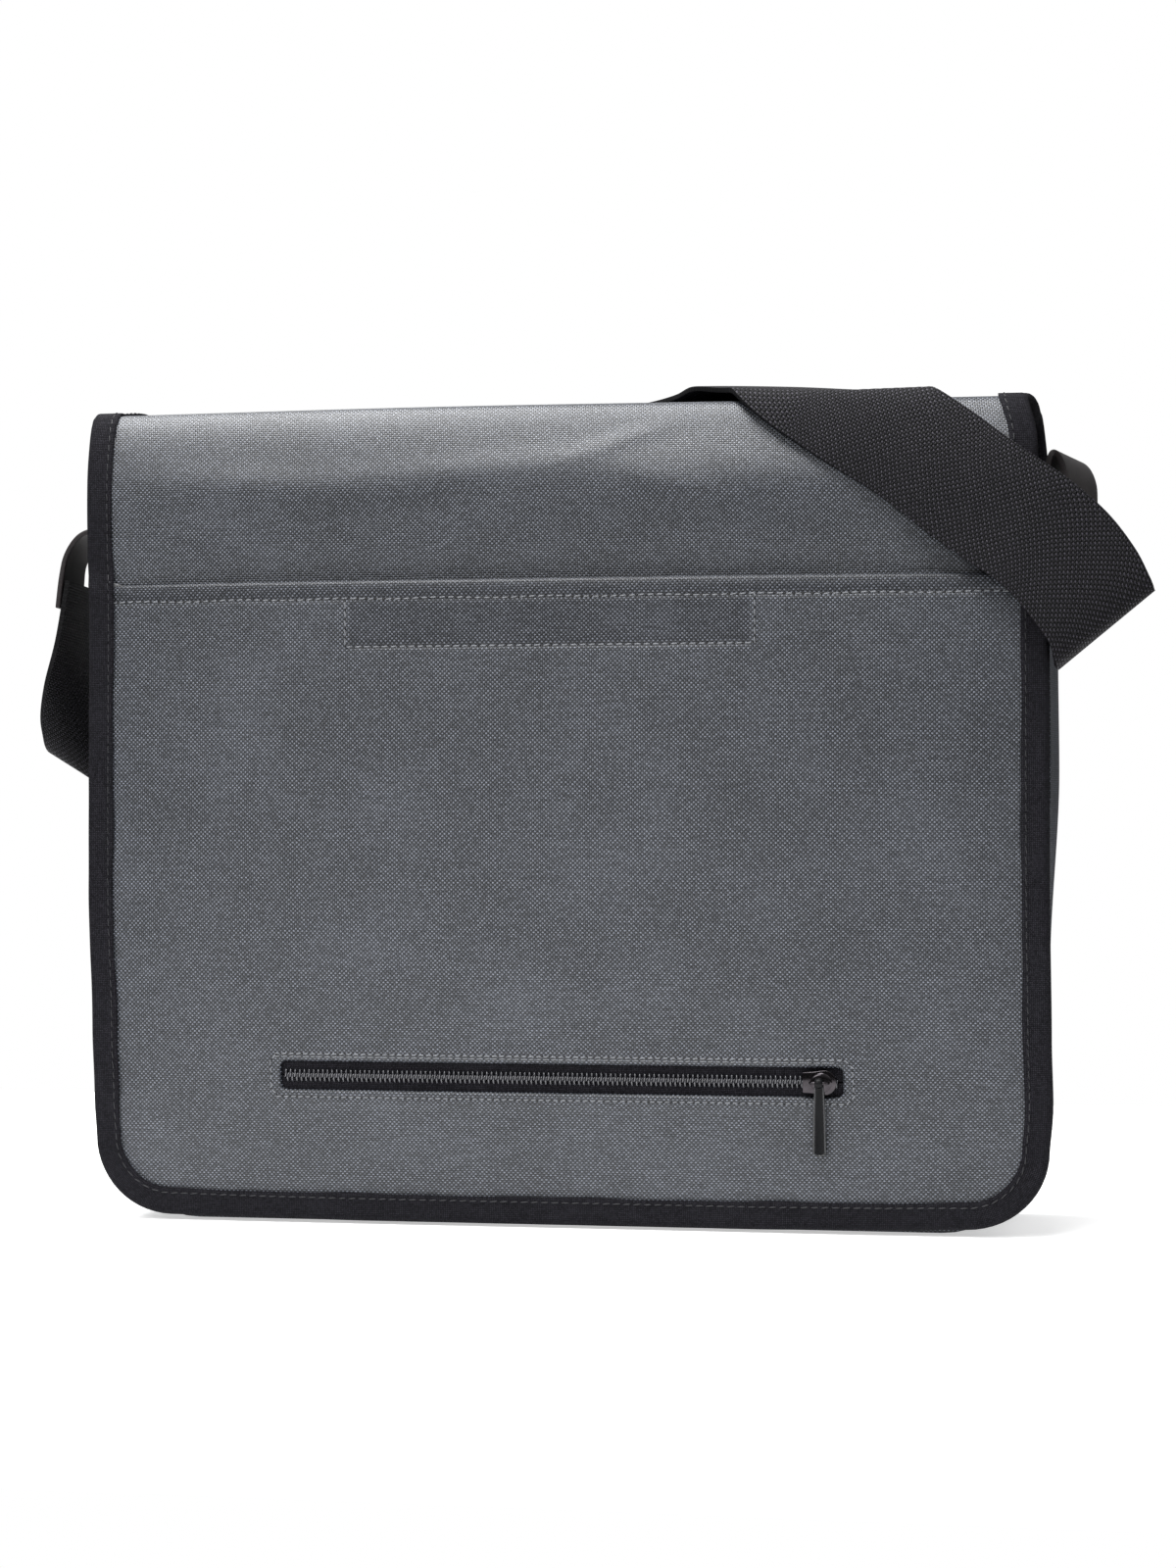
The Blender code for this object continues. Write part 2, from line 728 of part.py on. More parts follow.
def make_slider(fold, material, collection, cutters):
    """A saddle over the coil, with a straight mouth and a round nose."""
    matrix = slider_matrix(fold)
    half_l, half_h = SLIDER_L / 2, SLIDER_H / 2
    mouth = half_h * SLIDER_MOUTH_SHARE
    round_l = half_h * SLIDER_NOSE_SHARE
    outline = [(-half_l, mouth), (-half_l, -mouth)]
    for k in range(9):
        turn = -math.pi / 2 + math.pi * k / 8
        x = half_l - round_l + round_l * math.cos(turn)
        outline.append((x, half_h * math.sin(turn)))
    roof = GAP + SLIDER_ROOF
    foot = -COIL_T
    body = outline_object("zip_slider", outline, foot, roof, material, collection)
    bevel = body.modifiers.new("rounded", "BEVEL")
    bevel.width = SLIDER_ROOF * 0.5
    bevel.segments = 2
    bevel.limit_method = "ANGLE"
    channel = COIL_W / 2 + GAP
    bar = outline_object("coil_channel",
                         [(-SLIDER_L, -channel), (SLIDER_L, -channel),
                          (SLIDER_L, channel), (-SLIDER_L, channel)],
                         foot * 2, GAP, material, cutters)
    boolean(body, bar, "DIFFERENCE")
    curve = bpy.data.curves.new("bridge_wire", "CURVE")
    curve.dimensions = "3D"
    curve.bevel_depth = BRIDGE_R
    curve.bevel_resolution = 2
    curve.use_fill_caps = True
    spline = curve.splines.new("POLY")
    half = BRIDGE_SPAN / 2
    height = roof + BRIDGE_RISE
    shape = ((-half, roof - BRIDGE_R), (-half, height - BRIDGE_R), (-half + BRIDGE_R, height),
             (half - BRIDGE_R, height), (half, height - BRIDGE_R), (half, roof - BRIDGE_R))
    spline.points.add(len(shape) - 1)
    for point, (x, z) in zip(spline.points, shape):
        point.co = (x, 0, z, 1)
    holder = bpy.data.objects.new("bridge_wire", curve)
    cutters.objects.link(holder)
    bridge = meshed(holder, "bridge", material, cutters)
    boolean(body, bridge, "UNION")
    for piece in (body, bar, bridge):
        set_at(piece, matrix)
    return matrix


def bridge_height():
    return GAP + SLIDER_ROOF + BRIDGE_RISE


def make_pull(matrix, material, collection, cutters):
    """The tab that hangs from the slider's bridge, its origin on the hinge."""
    hinge = matrix @ Matrix.Translation((0, 0, bridge_height()))
    bore = BRIDGE_R + PULL_PLAY
    rim = bore + PULL_EYE_WALL
    top = -(BRIDGE_RISE - GAP)
    low, high = top, top + PULL_T
    half = PULL_W / 2
    neck, foot = half * PULL_NECK_SHARE, half * PULL_FOOT_SHARE
    side = [(neck, 0.0), (neck, -PULL_L * PULL_NECK_END), (half, -PULL_L * PULL_FULL_WIDTH)]
    outline = list(side)
    for k in range(7):
        turn = math.pi * k / 6
        outline.append((foot * math.cos(turn), -PULL_L + half - half * math.sin(turn)))
    outline += [(-x, y) for x, y in reversed(side)]
    pull = outline_object("zip_pull", outline[::-1], low, high, material, collection)
    for name, radius, length, operation in (("pull_eye", rim, PULL_EYE_W, "UNION"),
                                            ("pull_bore", bore, PULL_W * 2, "DIFFERENCE")):
        bpy.ops.mesh.primitive_cylinder_add(vertices=16, radius=radius, depth=length)
        tool = bpy.context.object
        tool.name = name
        tool.data.transform(Matrix.Rotation(math.pi / 2, 4, "Y"))
        tool.data.materials.append(material)
        for holder in list(tool.users_collection):
            holder.objects.unlink(tool)
        cutters.objects.link(tool)
        boolean(pull, tool, operation)
        set_at(tool, hinge)
    set_at(pull, hinge)
    return pull


def ribbon_row(centre, edge, width, count):
    edge = Vector(edge).normalized() * width / 2
    return [centre + edge * u for u in even(count)]


def body_place(across, deep, up):
    return Vector((across * BODY_W / 2, deep * BAG_D / 2, up * BAG_H))


def strap_over(fold):
    """Rows of the strap where it lies over the bag, from the front to the back."""
    spots = [(a * BODY_W / 2, s * fold.whole, lift * STRAP_W)
             for a, s, lift in STRAP_OVER_SHARES]
    spots = smooth_between(spots, STRAP_STEPS)
    last = len(spots) - 1
    rows = []
    for i, (x, s, lift) in enumerate(spots):
        ahead, behind = spots[min(i + 1, last)], spots[max(i - 1, 0)]
        way = Vector((ahead[0] - behind[0], ahead[1] - behind[1])).normalized()
        side = Vector((way.y, -way.x)) * -STRAP_W / 2
        rows.append([fold.place(x + side.x * u, s + side.y * u, lift)
                     for u in even(STRAP_COLUMNS)])
    return rows


def make_strap(fold, material, collection):
    """One length of webbing: down from the left tab, up behind the bag, over
    the fold, down across the front and back up to the right tab."""
    over = strap_over(fold)
    right = [ribbon_row(body_place(a, d, up), edge, STRAP_W, STRAP_COLUMNS)
             for a, d, up, edge in STRAP_RIGHT_SHARES]
    left = [ribbon_row(body_place(a, d, up), edge, STRAP_W, STRAP_COLUMNS)
            for a, d, up, edge in STRAP_LEFT_SHARES]
    step = STRAP_STEPS
    front = smooth_between(list(reversed(right)) + [over[0], over[step]], step)
    back = smooth_between([over[-1 - step], over[-1]] + left, step)
    rows = front[:len(right) * step] + over + back[step + 1:]
    return thicken(loft("strap", rows, material, collection), STRAP_T)


def make_tab(name, side, table, material, collection):
    """A folded tab: a patch sewn flat on the gusset and a free arch."""
    rows = []
    top = min(table[0][2] * BAG_H, GUSSET_TOP)
    for k in range(TAB_PATCH_ROWS):
        z = TAB_SEWN + (top - TAB_SEWN) * k / TAB_PATCH_ROWS
        row = ribbon_row(Vector((0.0, 0.0, z)), (0.0, -1.0, 0.0), TAB_W, TAB_COLUMNS)
        for point in row:
            sag = gusset_sag(z, point.y / gusset_reach(z), 1.0)
            point.x = side * (body_half(z) - sag + TAB_SEAM + TAB_T / 2)
        rows.append(row)
    for across, deep, up, turn in table:
        swing = math.radians(turn)
        edge = (side * math.sin(swing), -math.cos(swing), 0.0)
        rows.append(ribbon_row(body_place(side * across, deep, up), edge, TAB_W, TAB_COLUMNS))
    return thicken(loft(name, smooth_between(rows, 3), material, collection), TAB_T)


def main():
    clear_scene()
    bag = make_collection("laptop_bag")
    cutters = make_collection("cutters")
    canvas = make_material("canvas", (0.095, 0.102, 0.115), 0.62)
    tape = make_material("binding_tape", (0.012, 0.012, 0.015), 0.85)
    webbing = make_material("webbing", (0.012, 0.012, 0.014), 0.80)
    leather = make_material("strap_tab", (0.020, 0.017, 0.017), 0.50)
    coil = make_material("zip_coil", (0.015, 0.015, 0.017), 0.40)
    metal = make_material("slider_metal", (0.060, 0.060, 0.065), 0.28, 1.0)
    plastic = make_material("pull_plastic", (0.016, 0.016, 0.018), 0.45)

    fold = Fold()
    make_panel("front_panel", -1, FRONT_PANEL_TOP, canvas, bag)
    make_panel("back_panel", 1, BACK_PANEL_TOP, canvas, bag)
    make_gusset(canvas, bag)
    make_flap(fold, canvas, bag)
    make_pocket(fold, canvas, bag, cutters)
    make_binding(fold, tape, bag)
    make_zip(fold, tape, coil, bag)
    matrix = make_slider(fold, metal, bag, cutters)
    make_pull(matrix, plastic, bag, cutters)
    make_strap(fold, webbing, bag)
    make_tab("strap_tab_right", 1, TAB_RIGHT_SHARES, leather, bag)
    make_tab("strap_tab_left", -1, TAB_LEFT_SHARES, leather, bag)


main()
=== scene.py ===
import random
from bisect import bisect_right
from math import acos, copysign, cos, dist, exp, hypot, pi, radians, sin, sqrt

import bmesh
import bpy
from mathutils import Matrix, Vector


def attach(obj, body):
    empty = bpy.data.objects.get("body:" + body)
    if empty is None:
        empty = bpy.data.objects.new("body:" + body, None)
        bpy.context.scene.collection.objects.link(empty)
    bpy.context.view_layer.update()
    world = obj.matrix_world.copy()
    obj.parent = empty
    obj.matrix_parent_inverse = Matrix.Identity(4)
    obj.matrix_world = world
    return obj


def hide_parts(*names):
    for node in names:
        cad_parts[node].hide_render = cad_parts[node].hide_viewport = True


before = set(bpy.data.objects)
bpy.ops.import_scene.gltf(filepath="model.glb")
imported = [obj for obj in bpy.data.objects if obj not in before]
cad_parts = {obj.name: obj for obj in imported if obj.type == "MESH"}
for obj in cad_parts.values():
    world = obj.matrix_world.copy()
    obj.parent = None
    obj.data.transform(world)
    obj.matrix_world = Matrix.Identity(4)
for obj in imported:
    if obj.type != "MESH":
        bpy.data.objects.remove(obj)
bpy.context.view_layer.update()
random.seed(7)
print("frame loaded")

view = {
    "distance": 1.35,  # from the middle of the flap
    "swing": 10.5,  # degrees to the right
    "rise": 0.854,  # degrees upwards
    "eye": 0.1626,  # height above the floor
    "aimX": 0.0134,
    "aimY": -0.052,
    "lens": 75.44,
}


def makeCamera():
    swing = radians(view["swing"])
    bpy.ops.object.camera_add(
        location=(view["aimX"] + view["distance"] * sin(swing),
                  view["aimY"] - view["distance"] * cos(swing), view["eye"]),
        rotation=(radians(90 + view["rise"]), 0, swing))
    camera = bpy.context.object
    camera.data.lens = view["lens"]
    camera.data.sensor_width = 36
    bpy.context.scene.camera = camera


studio = {
    "sky": (0.06, 0.8),  # soft light all round, low down and overhead
    "skyRise": (0.05, 0.8),
    "backdrop": 1.0,  # what the camera sees behind the bag
    "topPower": 30.0,
    "topSize": (1.4, 0.45),
    "topPlace": (-0.25, -0.2, 1.3),
    "keyPower": 7.5,
    "keyPlace": (-0.6, -1.2, 0.9),
    "keySize": (1.0, 0.4),
    "floorColor": (0.86, 0.86, 0.86),
    "floorGlow": 0.5,
    "floorSize": 1.2,
    "floorZ": -0.0002,  # just clear of the bag's foot
}


def addArea(name, place, aim, width, depth, power):
    bpy.ops.object.light_add(type="AREA", location=place)
    lamp = bpy.context.object
    lamp.name = name
    lamp.data.shape = "RECTANGLE"
    lamp.data.size = width
    lamp.data.size_y = depth
    lamp.data.energy = power
    lamp.rotation_euler = (Vector(aim) - Vector(place)).to_track_quat("-Z", "Y").to_euler()


def makeStudio():
    scene = bpy.context.scene
    scene.view_settings.view_transform = "Standard"
    board = Board(bpy.data.worlds.new("softbox"), "Background")
    rise = board.split(board.node("ShaderNodeTexCoord", output="Generated"))[2]
    (low, high), (dim, bright) = studio["skyRise"], studio["sky"]
    sky = board.node("ShaderNodeMapRange", {"Value": rise, "From Min": low, "From Max": high,
                                            "To Min": dim, "To Max": bright})
    seen = board.node("ShaderNodeLightPath", output="Is Camera Ray")
    level = board.node("ShaderNodeMapRange", {"Value": seen, "To Min": sky,
                                              "To Max": studio["backdrop"]})
    board.paint({"Color": (1, 1, 1, 1), "Strength": level})
    scene.world = board.owner
    addArea("topLight", studio["topPlace"], (0, -0.02, 0.25), *studio["topSize"], studio["topPower"])
    addArea("keyLight", studio["keyPlace"], (0, 0, 0.3), *studio["keySize"], studio["keyPower"])
    bpy.ops.mesh.primitive_plane_add(size=studio["floorSize"], location=(0, 0, studio["floorZ"]))
    floor = bpy.context.object
    floor.name = "studioFloor"
    board = Board(bpy.data.materials.new("floorPaper"))
    board.paint({"Base Color": (*studio["floorColor"], 1), "Roughness": 0.9,
                 "Emission Color": (1, 1, 1, 1), "Emission Strength": studio["floorGlow"]})
    floor.data.materials.append(board.owner)


class Wire:  # a socket that takes part in sums
    def __init__(self, board, socket):
        self.board = board
        self.socket = socket

    def step(self, operation, *others):
        return self.board.node("ShaderNodeMath", dict(enumerate([self, *others])),
                               operation=operation)

    def __rsub__(self, other):
        return self.step("MULTIPLY", -1.0).step("ADD", other)

    def clamp(self, low=0.0, high=1.0):
        return self.step("MAXIMUM", low).step("MINIMUM", high)


def stepFor(operation):
    return lambda wire, *others: wire.step(operation, *others)


for sign, operation in (
        ("__add__", "ADD"), ("__radd__", "ADD"), ("__sub__", "SUBTRACT"),
        ("__mul__", "MULTIPLY"), ("__rmul__", "MULTIPLY"), ("__truediv__", "DIVIDE"),
        ("__pow__", "POWER"), ("__abs__", "ABSOLUTE"), ("above", "GREATER_THAN"),
        ("cosine", "COSINE"), ("floor", "FLOOR")):
    setattr(Wire, sign, stepFor(operation))


class Board:  # the nodes of one material, or of the world
    def __init__(self, owner, shader="Principled BSDF"):
        owner.use_nodes = True
        self.owner = owner
        self.tree = owner.node_tree
        self.shader = self.tree.nodes[shader]

    def node(self, kind, sockets=None, output=0, **settings):
        made = self.tree.nodes.new(kind)
        for key, value in settings.items():
            setattr(made, key, value)
        for key, value in (sockets or {}).items():
            self.feed(made.inputs[key], value)
        return Wire(self, made.outputs[output])

    def feed(self, socket, value):
        if isinstance(value, Wire):
            self.tree.links.new(value.socket, socket)
        else:
            socket.default_value = value

    def paint(self, values):
        for key, value in values.items():
            self.feed(self.shader.inputs[key], value)

    def noise(self, vector, scale, detail=2.0, rough=0.5):
        return self.node("ShaderNodeTexNoise", {"Vector": vector, "Scale": scale,
                                                "Detail": detail, "Roughness": rough})

    def mix(self, factor, low, high):
        return self.node("ShaderNodeMix", {0: factor, 6: (*low, 1), 7: (*high, 1)}, 2,
                         data_type="RGBA")

    def places(self):  # object coordinates, metres
        return self.node("ShaderNodeTexCoord", output="Object")

    def flat(self):  # the cloth's own flat coordinates, metres
        return self.node("ShaderNodeUVMap", uv_map="flat")

    def split(self, vector):
        node = self.node("ShaderNodeSeparateXYZ", {0: vector}).socket.node
        return [Wire(self, socket) for socket in node.outputs]

    def join(self, x, y, z=0.0):
        return self.node("ShaderNodeCombineXYZ", {0: x, 1: y, 2: z})

    def bump(self, height, strength, distance):
        return self.node("ShaderNodeBump", {"Strength": strength, "Distance": distance,
                                            "Height": height})


def weave(board, across, along, pitch, crown, alongUp):
    # plain weave: threads of each way go over in turn, alongUp is how bright the
    # threads that run along show beside those that run across
    turnX = across * (pi / pitch[0])
    turnY = along * (pi / pitch[1])
    waveX, waveY = turnX.cosine(), turnY.cosine()
    over = (waveX * waveY).above(0.0)
    crownX, crownY = abs(waveX), abs(waveY)
    warp = crownX * crownY ** crown
    weft = crownY * crownX ** crown
    height = over * warp + (1 - over) * weft
    dash = crownY ** 1.5 * crownX ** 0.35
    # the colour follows the thread crowns: painted highlight on the crowns and painted shade in the
    # gaps between threads
    light = over * warp * alongUp[0] + (1 - over) * dash * alongUp[1]
    cell = board.join((turnX / pi + 0.5).floor(), (turnY / pi + 0.5).floor())
    spot = board.node("ShaderNodeTexWhiteNoise", {"Vector": cell}, noise_dimensions="2D")
    return height, light, spot


def clothMaterial(name, look):
    board = Board(bpy.data.materials.new(name))
    flat = board.flat()
    across, along, _ = board.split(flat)
    drift = look["drift"]
    across = across + (board.noise(flat, look["driftScale"]) - 0.5) * drift
    along = along + (board.noise(board.join(along, across, 0.3), look["driftScale"]) - 0.5) * drift
    height, light, spot = weave(board, across, along, look["pitch"], look["crown"], look["ways"])
    slub = board.noise(board.join(across * look["slub"][0], along * look["slub"][1]), 1.0, 3.0)
    patch = board.noise(board.places(), look["patchScale"], 3.0)
    # shade carries the weave's painted highlight and shade, times a random tone per thread
    shade = light ** look["crisp"] * (1 - look["spark"] + spot * (2 * look["spark"]))
    shade = (shade + (slub - 0.5) * look["slubDepth"] + (patch - 0.5) * look["patchDepth"]).clamp()
    board.paint({
        "Base Color": board.mix(shade, look["low"], look["high"]),
        "Roughness": (look["rough"] - shade * look["gloss"]).clamp(0.2, 1.0),
        "Specular IOR Level": look["specular"],
        "Normal": board.bump(height + slub * 0.3, look["bump"], look["relief"]),
    })
    return board.owner


canvasLook = {
    "pitch": (0.00093, 0.00092),  # thread widths, metres
    "crown": 0.6,
    "crisp": 1.9,
    "ways": (0.16, 1.0),  # threads up and down show darker than those across
    "drift": 0.0006, "driftScale": 70,
    "slub": (60, 900), "slubDepth": 0.24,
    "patchScale": 22, "patchDepth": 0.22,
    "spark": 0.5,
    "low": (0.005, 0.0065, 0.0095), "high": (0.205, 0.222, 0.266),
    "rough": 0.42, "gloss": 0.06, "specular": 0.6,
    "bump": 0.4, "relief": 0.0003,
}
# a darker canvas for the doubled hem and box, partly painted shade from the pocket's gape
hemShadeLook = dict(canvasLook, low=(0.006, 0.007, 0.0095), high=(0.178, 0.191, 0.226),
               specular=0.4)
tapeLook = {
    "pitch": (0.0007, 0.00075),
    "crown": 0.6,
    "crisp": 1.2,
    "ways": (0.8, 0.8),
    "drift": 0.0006, "driftScale": 120,
    "slub": (500, 160), "slubDepth": 0.35,
    "patchScale": 40, "patchDepth": 0.3,
    "spark": 0.5,
    "low": (0.0035, 0.0034, 0.0045), "high": (0.024, 0.023, 0.029),
    "rough": 0.85, "gloss": 0.15, "specular": 0.09,
    "bump": 0.7, "relief": 0.00025,
}
webbingLook = {
    "pitch": (0.0013, 0.0012),
    "crown": 0.5,
    "crisp": 1.6,
    "ways": (1.0, 0.25),
    "drift": 0.0002, "driftScale": 60,
    "slub": (700, 60), "slubDepth": 0.12,
    "patchScale": 20, "patchDepth": 0.08,
    "spark": 0.3,
    "low": (0.001, 0.001, 0.0015), "high": (0.042, 0.039, 0.05),
    "rough": 0.62, "gloss": 0.25, "specular": 0.14,
    "bump": 1.0, "relief": 0.0005,
}


def threadMaterial(name, color):
    board = Board(bpy.data.materials.new(name))
    board.paint({
        "Base Color": board.mix(board.noise(board.places(), 900), color,
                                [c * 1.9 for c in color]),
        "Roughness": 0.55,
        "Normal": board.bump(board.noise(board.places(), 2600, 1.0), 0.4, 0.0001),
    })
    return board.owner


def smoothMaterial(name, look):
    fine, wide, low, high, rough, spreadOut, metal, specular, bump, relief = look
    board = Board(bpy.data.materials.new(name))
    places = board.places()
    grain = board.noise(places, fine, 4.0, 0.6)
    wear = board.noise(places, wide, 3.0)
    board.paint({
        "Base Color": board.mix((wear * 1.4 - 0.2).clamp(), low, high),
        "Roughness": (rough + (grain - 0.5) * spreadOut).clamp(0.08, 1.0),
        "Metallic": metal,
        "Specular IOR Level": specular,
        "Normal": board.bump(grain, bump, relief),
    })
    return board.owner


smoothLooks = {  # grain, wear, low, high, rough, its spread, metal, specular, bump, relief
    "charcoalTab": (1400, 90, (0.008, 0.0065, 0.007), (0.022, 0.017, 0.018),
                    0.5, 0.25, 0.0, 0.35, 0.25, 0.0002),
    "coilNylon": (3000, 200, (0.02, 0.02, 0.024), (0.055, 0.055, 0.065),
                  0.22, 0.15, 0.0, 1.0, 0.1, 0.0001),
    "blackNickel": (1500, 300, (0.032, 0.029, 0.032), (0.066, 0.06, 0.065),
                    0.14, 0.1, 1.0, 0.5, 0.05, 0.0001),
    "pullCoat": (2500, 200, (0.0018, 0.002, 0.0025), (0.0045, 0.0048, 0.0058),
                 0.4, 0.2, 0.0, 0.15, 0.12, 0.0001),
    "pullRail": (2500, 200, (0.012, 0.0125, 0.014), (0.022, 0.023, 0.026),
                 0.28, 0.2, 0.0, 0.6, 0.12, 0.0001),
}
# the near black beads after each stitch are painted shade in the needle holes
threadColors = {"greyThread": (0.125, 0.13, 0.14), "needleHoleShade": (0.004, 0.004, 0.005),
                "blackThread": (0.01, 0.01, 0.012)}

makeCamera()
makeStudio()
canvas = clothMaterial("greyCanvas", canvasLook)
hemShadedCanvas = clothMaterial("doubledCanvasPaintedShade", hemShadeLook)
tape = clothMaterial("blackTape", tapeLook)
webbing = clothMaterial("blackWebbing", webbingLook)
tabSkin, coilNylon, blackNickel, pullCoat, pullRail = [
    smoothMaterial(*item) for item in smoothLooks.items()]
greyThread, holeShadeThread, blackThread = [threadMaterial(*item) for item in threadColors.items()]
print("materials made")

bag = {
    "height": 0.344, "depth": 0.084, "bodyWidth": 0.403, "bodyCorner": 0.036,
    "frontTop": 0.306, "backTop": 0.314, "gussetTop": 0.298, "gussetBow": 0.0035,
    "crown": 0.0012, "cloth": 0.0016, "gap": 0.0004,
    "flapWidth": 0.405, "flapFoot": 0.001, "flapCorner": 0.032, "slack": 0.003, "lap": 0.02,
    "shoulderRise": 0.047, "shoulderDeep": 0.014, "backRise": 0.027, "backDeep": 0.018,
    "topRise": 0.003, "tapeReach": 0.0102, "tapeThick": 0.0008,
    "mouth": 0.266, "pocketThick": 0.0014, "gape": 0.007,
}
cloth, gap, tapeThick, pocketThick, flapWidth = [
    bag[key] for key in ("cloth", "gap", "tapeThick", "pocketThick", "flapWidth")]
flapShape = (  # along, width, lean
    (0.0, 0.981, 0.002), (0.06, 0.987, 0.0025), (0.11, 0.994, 0.003), (0.17, 0.995, 0.001),
    (0.3, 0.998, -0.002), (0.56, 0.998, -0.002), (0.62, 0.998, -0.005),
    (0.7, 0.991, -0.01), (0.76, 0.98, -0.017), (0.86, 0.98, -0.009), (1.0, 0.98, 0.0))
footShape = (  # across, rise of the lower corners
    (-0.5, 0.03), (-0.42, 0.03), (-0.3, 0.01), (-0.2, 0.0), (0.2, 0.0), (0.3, 0.02),
    (0.42, 0.05), (0.5, 0.05))
bodyShape = (  # up, width, depth
    (0.0, 0.94, 0.96), (0.12, 0.958, 0.99), (0.3, 0.98, 1.0), (0.55, 1.0, 1.0),
    (0.7, 0.998, 1.0), (0.84, 0.988, 1.0), (1.0, 0.98, 1.0))
softDents = (  # across, along, wide, tall, depth
    (0.28, 0.6, 0.05, 0.09, -0.3), (0.12, 0.68, 0.16, 0.03, 0.45),
    (-0.35, 0.4, 0.12, 0.07, 0.3), (0.36, 0.26, 0.1, 0.08, -0.35),
    (-0.1, 0.22, 0.18, 0.06, 0.25), (-0.42, 0.03, 0.08, 0.04, -0.4),
    (0.3, 0.02, 0.1, 0.04, 0.4), (-0.12, 0.79, 0.34, 0.1, 0.45))
foldSteps = 60


def readTable(table, where, column):
    if where <= table[0][0]:
        return table[0][column]
    for low, high in zip(table, table[1:]):
        if where <= high[0]:
            part = (where - low[0]) / (high[0] - low[0])
            part = part * part * (3 - 2 * part)
            return low[column] + (high[column] - low[column]) * part
    return table[-1][column]


def spread(low, high, count):
    return [low + (high - low) * k / count for k in range(count + 1)]


def lengthsAlong(points):
    lengths = [0.0]
    for a, b in zip(points, points[1:]):
        lengths.append(lengths[-1] + dist(a, b))
    return lengths


def foldOutline():
    front = -(bag["depth"] / 2 + bag["slack"] + cloth / 2)
    back = bag["depth"] / 2 - bag["crown"] + gap * 2 + tapeThick + cloth / 2
    crest = bag["height"] - cloth / 2 - bag["topRise"]
    foot = bag["flapFoot"] + tapeThick + gap
    rise, deep = bag["shoulderRise"], bag["shoulderDeep"]
    points = [(front, z) for z in spread(foot, crest - rise, foldSteps)[:-1]]
    for k in range(foldSteps):
        turn = pi / 2 * k / foldSteps
        points.append((front + deep * (1 - cos(turn)), crest - rise + rise * sin(turn)))
    start, end = front + deep, back - bag["backDeep"]
    for k in range(foldSteps):
        part = k / foldSteps
        points.append((start + (end - start) * part, crest + bag["topRise"] * sin(pi * part) ** 2))
    rise, deep = bag["backRise"], bag["backDeep"]
    for k in range(foldSteps):
        turn = pi / 2 * (1 - k / foldSteps)
        points.append((back - deep * (1 - cos(turn)), crest - rise + rise * sin(turn)))
    points += [(back, z) for z in spread(crest - rise, 0.0, foldSteps)]
    return [Vector(point) for point in points]


class Fold:  # places on the flap by their way up and over
    def __init__(self):
        self.points = foldOutline()
        self.along = [0.0]
        for a, b in zip(self.points, self.points[1:]):
            self.along.append(self.along[-1] + (b - a).length)
        self.whole = self.along[-1]
        last = len(self.points) - 1
        self.normals = []
        for k in range(last + 1):
            way = self.points[min(k + 1, last)] - self.points[max(k - 1, 0)]
            self.normals.append(Vector((-way.y, way.x)).normalized())
        self.shoulder = self.along[foldSteps]
        self.crest = self.along[foldSteps * 2]
        self.back = self.along[foldSteps * 4]
        self.seam = self.atBack(bag["backTop"] - bag["lap"])

    def atBack(self, height):
        return self.back + self.points[foldSteps * 4].y - height

    def atFront(self, height):
        return height - self.points[0].y

    def side(self, s):
        s = min(max(s, 0.0), self.whole - 1e-9)
        low = min(bisect_right(self.along, s), len(self.along) - 1) - 1
        high = low + 1
        part = (s - self.along[low]) / (self.along[high] - self.along[low])
        return (self.points[low].lerp(self.points[high], part),
                self.normals[low].lerp(self.normals[high], part).normalized())

    def place(self, x, s, lift):
        point, normal = self.side(s)
        out = lift + dentAt(x, s, self.seam)
        x += flapWidth * readTable(flapShape, s / self.seam, 2)
        rise = footRise(x, max(s, 0.0)) - max(-s, 0.0)
        return Vector((x, point.x + normal.x * out, point.y + normal.y * out + rise))


def footRise(x, s):
    fade = max(1 - s / (2 * bag["flapCorner"]), 0.0)
    return bag["flapCorner"] * readTable(footShape, x / flapWidth, 1) * fade * fade


def dentAt(x, s, length):
    depth = 0.0
    for across, along, wide, tall, share in softDents:
        far = ((x / flapWidth - across) / wide) ** 2 + ((s / length - along) / tall) ** 2
        depth += share * bag["slack"] * exp(-far)
    return depth


fold = Fold()


def flapHalf(s):
    half = flapWidth / 2 * readTable(flapShape, s / fold.seam, 1)
    half -= tapeThick + gap
    if s >= bag["flapCorner"]:
        return half
    rest = bag["flapCorner"] - max(s, 0.0)
    return half - bag["flapCorner"] + sqrt(max(bag["flapCorner"] ** 2 - rest ** 2, 0.0))


def pocketLift(x, s):
    seam = bag["tapeReach"] + gap
    lift = cloth / 2 + gap + pocketThick / 2
    across = abs(x) / (flapHalf(s) - seam)
    up = (s - seam) / (fold.atFront(bag["mouth"]) - seam)
    if across >= 1 or up <= 0:
        return lift
    return lift + bag["gape"] * (1 - across ** 4) * (1 - (1 - min(up, 1.0)) ** 3)


def onPocket(x, s, over=0.0):
    # over: height above the middle of the pocket's cloth
    return fold.place(x, s, pocketLift(x, s) + over)


def bodyHalf(z):
    return bag["bodyWidth"] / 2 * readTable(bodyShape, z / bag["height"], 1)


def bodyDepth(z):
    return bag["depth"] / 2 * readTable(bodyShape, z / bag["height"], 2)


def roundedHalf(z):
    radius = bag["bodyCorner"]
    if z >= radius:
        return bodyHalf(z)
    return bodyHalf(radius) - radius + sqrt(max(radius ** 2 - (radius - z) ** 2, 0.0))


def cornerSteps(radius, count):
    return [radius * (1 - cos(pi / 2 * k / count)) for k in range(count)]


def pick(*pieces):
    bpy.ops.object.select_all(action="DESELECT")
    for piece in pieces:
        piece.select_set(True)
    bpy.context.view_layer.objects.active = pieces[0]


